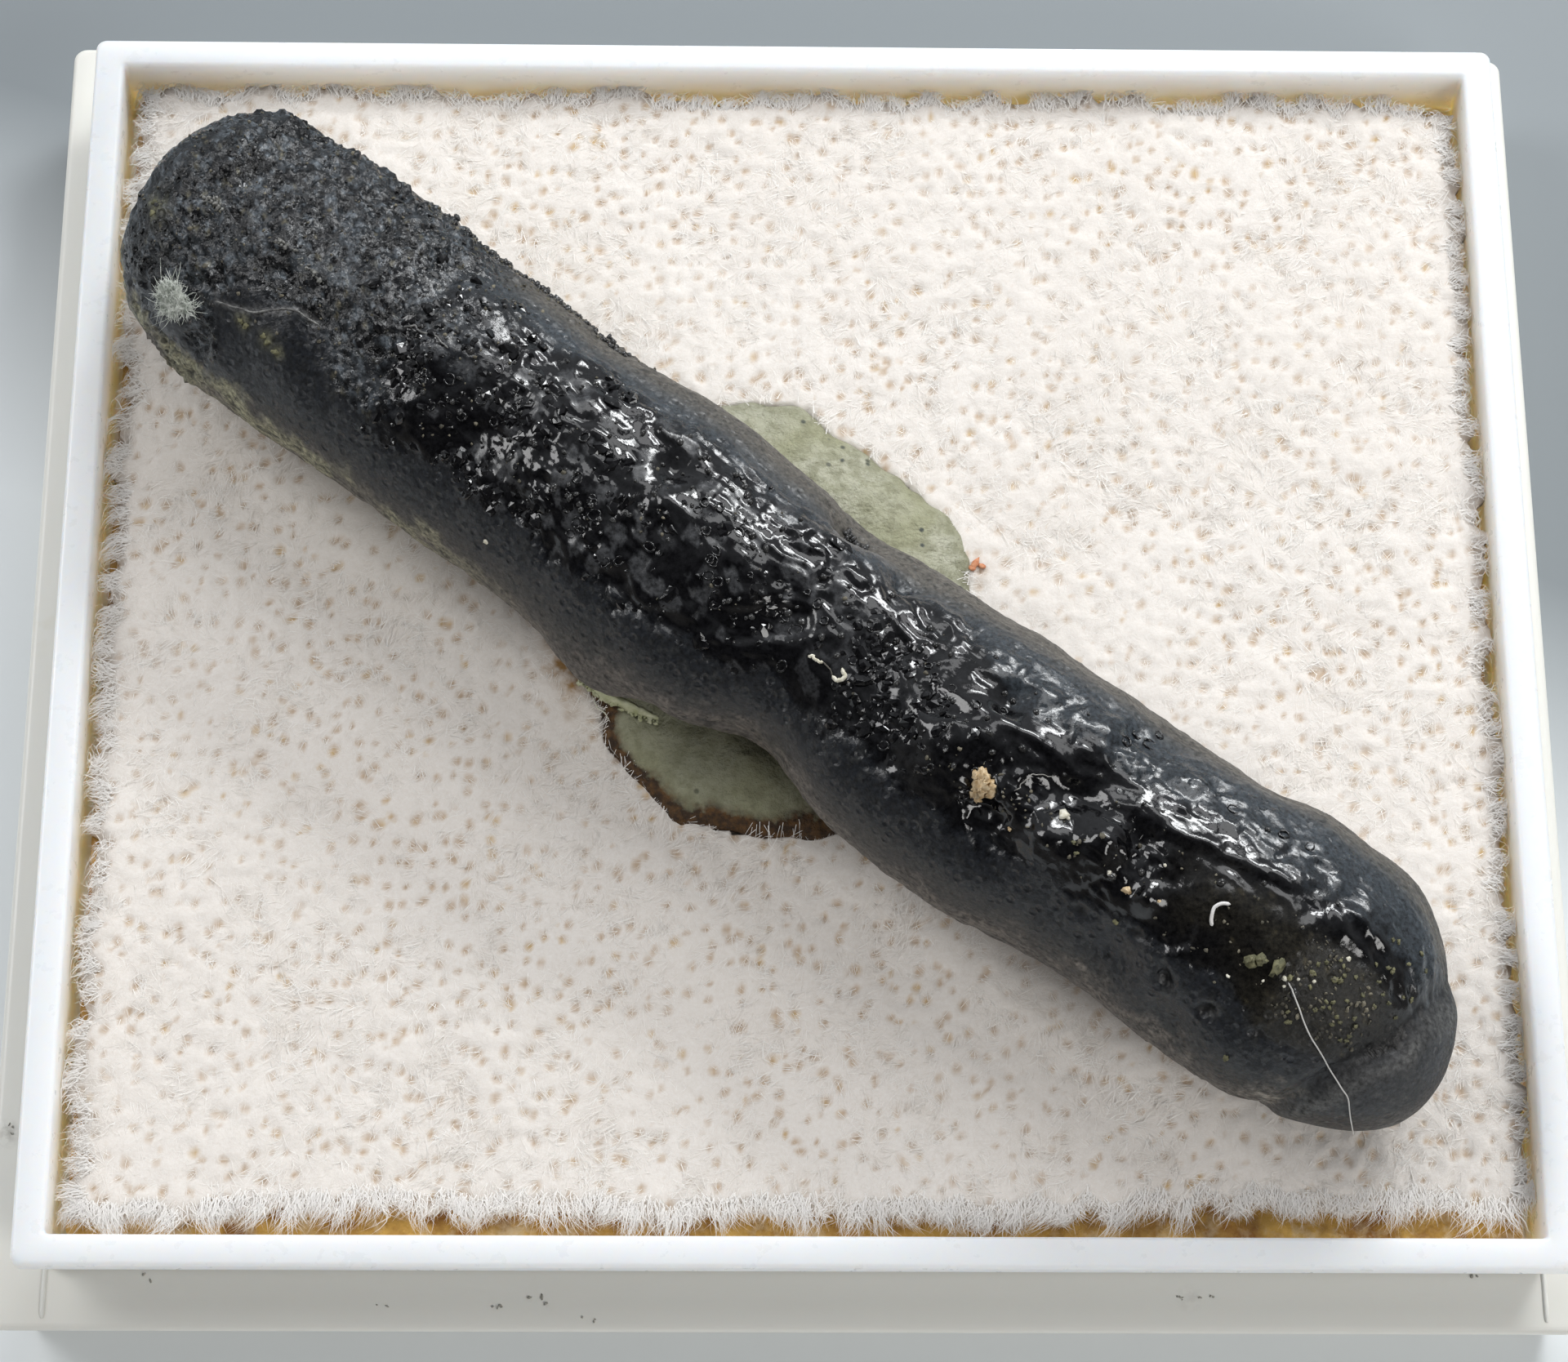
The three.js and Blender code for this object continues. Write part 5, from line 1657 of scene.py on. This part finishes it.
def make_dust():
    """Specks on the ledge of the base and one orange speck on the fabric."""
    rng = np.random.default_rng(467)
    places = []
    sizes = []
    for x, y, radius, count in LEDGE_SPECKS:
        for _ in range(count):
            places.append((x + rng.normal(0, 0.15), y + rng.normal(0, 0.1), BASE_HEIGHT + radius * 0.2))
            sizes.append((radius * rng.uniform(0.3, 1.0), radius * rng.uniform(0.3, 0.7), radius * 0.4))
    grey = plain_material("ledge_specks", (0.3, 0.29, 0.25), (0.46, 0.45, 0.4), 0.1, 0.8)
    grains("ledge_specks", places, sizes, 479, grey)
    orange = plain_material("orange_speck", (0.55, 0.2, 0.09), (0.72, 0.36, 0.2), 0.15, 0.7)
    places, sizes = zip(*ORANGE_LUMPS)
    grains("orange_speck", places, sizes, 487, orange)


def adhesive_material():
    """Amber film, clouded pale and glossy in patches."""
    material, tree, shader, place = start_material("adhesive_film", IOR=1.5)
    cloud = noise_tex(tree, place, 0.9, 4, 0.6)
    amber = mixed(tree, spread(tree, cloud, 0.35, 0.62), (0.36, 0.17, 0.035), (0.78, 0.5, 0.13))
    tone = mixed(tree, clouds(tree, place, 0.6, 0.5, 0.68, 0, 0.75, 4, 0.6), amber, (0.8, 0.66, 0.42))
    gloss = clouds(tree, place, 0.3, 0.35, 0.65, 0.12, 0.45)
    drive(tree, shader, Base_Color=tone, Roughness=gloss, Normal=bump(tree, cloud, 0.6, 0.15))
    return material


def paint_node(name, material):
    """A CAD node keeps its shape and takes a better material."""
    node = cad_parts[name]
    node.data.materials.clear()
    node.data.materials.append(material)


# ---- the object ----

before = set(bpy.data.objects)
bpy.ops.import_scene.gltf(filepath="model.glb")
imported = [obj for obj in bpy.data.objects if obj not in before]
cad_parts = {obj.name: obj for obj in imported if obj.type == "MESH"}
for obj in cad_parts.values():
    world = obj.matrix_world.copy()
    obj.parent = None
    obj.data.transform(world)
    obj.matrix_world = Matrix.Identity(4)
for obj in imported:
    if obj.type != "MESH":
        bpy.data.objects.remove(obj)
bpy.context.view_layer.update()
BODY_ALONG, BODY_DEGREES, BODY_POINTS, BODY_NORMALS, BODY_MASKS = make_body()
make_chips(BODY_ALONG, BODY_DEGREES, BODY_POINTS, BODY_NORMALS, BODY_MASKS)
make_tray()
make_base()
make_putty()
make_fringe()
KNIT = make_pile()
FIBRE = fibre_material("pile_fibre", (0.84, 0.8, 0.75))
FIBRES = [
    make_fibres("pile_fibres_a", FIBRE_COUNT, 271, FIBRE),
    make_fibres("pile_fibres_b", FIBRE_COUNT, 277, FIBRE),
    make_edge_fibres(fibre_material("edge_fibre", (0.84, 0.68, 0.4), 4.66)),
]
make_bubbles()
make_hair()
make_lint()
make_grains()
make_dust()
paint_node("adhesive_backing", adhesive_material())


# ---- floor, light and camera ----

FLOOR_REACH = 0.9  # metres
# Lights: name, azimuth, elevation, distance, width and height in metres, power and colour
LIGHTS = (
    ("window", 30, 38, 0.2, 0.072, 0.028, 0.145, (0.97, 0.99, 1.0)),
    ("window_glow", 28, 34, 0.2, 0.12, 0.05, 0.075, (0.97, 0.99, 1.0)),
    ("sky_panel", 22, 57, 0.24, 0.2, 0.07, 0.135, (0.98, 0.99, 1.0)),
    ("left_fill", -66, 42, 0.36, 0.14, 0.14, 0.43, (1.0, 1.0, 1.0)),
    ("right_fill", 136, 38, 0.36, 0.14, 0.14, 0.47, (1.0, 0.99, 0.97)),
)


def make_floor():
    """A plain floor, pale in front of a slanting line and grey beyond it; the slant is painted light that
    keeps the floor left of the box pale where the box's shadow falls.
    """
    mesh = bpy.data.meshes.new("floor")
    corners = [(FLOOR_REACH * x, FLOOR_REACH * y, 0) for x, y in ((-1, -1), (1, -1), (1, 1), (-1, 1))]
    mesh.from_pydata(corners, [], [(0, 1, 2, 3)])
    material, tree, shader, place = start_material("pale_floor", Roughness=0.6)
    parts = add(tree, "ShaderNodeSeparateXYZ", {0: place}).outputs
    # Painted light: leaning the line back on the left keeps the floor pale in the box's shadow there.
    inputs = {0: parts["X"], 1: 0.35, 2: parts["Y"]}
    slanted = add(tree, "ShaderNodeMath", inputs, operation="MULTIPLY_ADD").outputs[0]
    far = spread(tree, slanted, -2.0 * MM, 12.0 * MM)
    drive(tree, shader, Base_Color=mixed(tree, far, (0.84, 0.88, 0.9), (0.235, 0.262, 0.278)))
    mesh.materials.append(material)
    floor = bpy.data.objects.new("floor", mesh)
    bpy.context.scene.collection.objects.link(floor)


def area_light(name, azimuth, elevation, distance, width, height, power, colour):
    """A soft rectangular light that faces the specimen; azimuth 0 is behind it and 90 to its right."""
    data = bpy.data.lights.new(name, "AREA")
    data.shape = "RECTANGLE"
    data.size = width
    data.size_y = height
    data.energy = power
    data.color = colour
    light = bpy.data.objects.new(name, data)
    turn, lift = math.radians(azimuth), math.radians(elevation)
    away = Vector((math.sin(turn) * math.cos(lift), math.cos(turn) * math.cos(lift), math.sin(lift)))
    light.location = away * distance
    light.rotation_euler = away.to_track_quat("Z", "Y").to_euler()
    bpy.context.scene.collection.objects.link(light)


def make_lights():
    """The window and its glow, the sky above, two fills and the dim room round the box."""
    for row in LIGHTS:
        area_light(*row)
    world = bpy.data.worlds.new("soft_room")
    world.use_nodes = True
    tree = world.node_tree
    place = add(tree, "ShaderNodeTexCoord").outputs["Generated"]
    parts = add(tree, "ShaderNodeSeparateXYZ", {0: place}).outputs
    low = spread(tree, parts["Z"], 0.6, 0.1)
    front = mixed(tree, low, (0.035, 0.035, 0.04), (0.24, 0.23, 0.22))
    tone = mixed(tree, spread(tree, parts["Y"], -0.3, 0.7), front, (0.5, 0.52, 0.55))
    drive(tree, tree.nodes["Background"], Color=tone)
    bpy.context.scene.world = world


# The photograph's camera: its lens and sensor, its place, and its right, up and back directions
CAMERA_LENS = 88.65
CAMERA_SENSOR = 36
CAMERA_PLACE = (-2.164, -41.660, 109.452)
CAMERA_RIGHT = (0.99983, -0.00092, 0.01829)
CAMERA_UP = (-0.00569, 0.93374, 0.35790)
CAMERA_BACK = (-0.01740, -0.35795, 0.93358)


def make_camera():
    """The photograph's view: 69 degrees down, from in front and a little to the left."""
    data = bpy.data.cameras.new("camera")
    data.lens = CAMERA_LENS
    data.sensor_width = CAMERA_SENSOR
    data.clip_start = 0.01  # metres
    data.clip_end = 10  # metres
    camera = bpy.data.objects.new("camera", data)
    rotation = Matrix((CAMERA_RIGHT, CAMERA_UP, CAMERA_BACK)).transposed().to_4x4()
    camera.matrix_world = Matrix.Translation(Vector(CAMERA_PLACE) * MM) @ rotation
    bpy.context.scene.collection.objects.link(camera)
    bpy.context.scene.camera = camera


make_floor()
make_lights()
make_camera()
bpy.context.scene.view_settings.view_transform = "Standard"
bpy.context.view_layer.update()
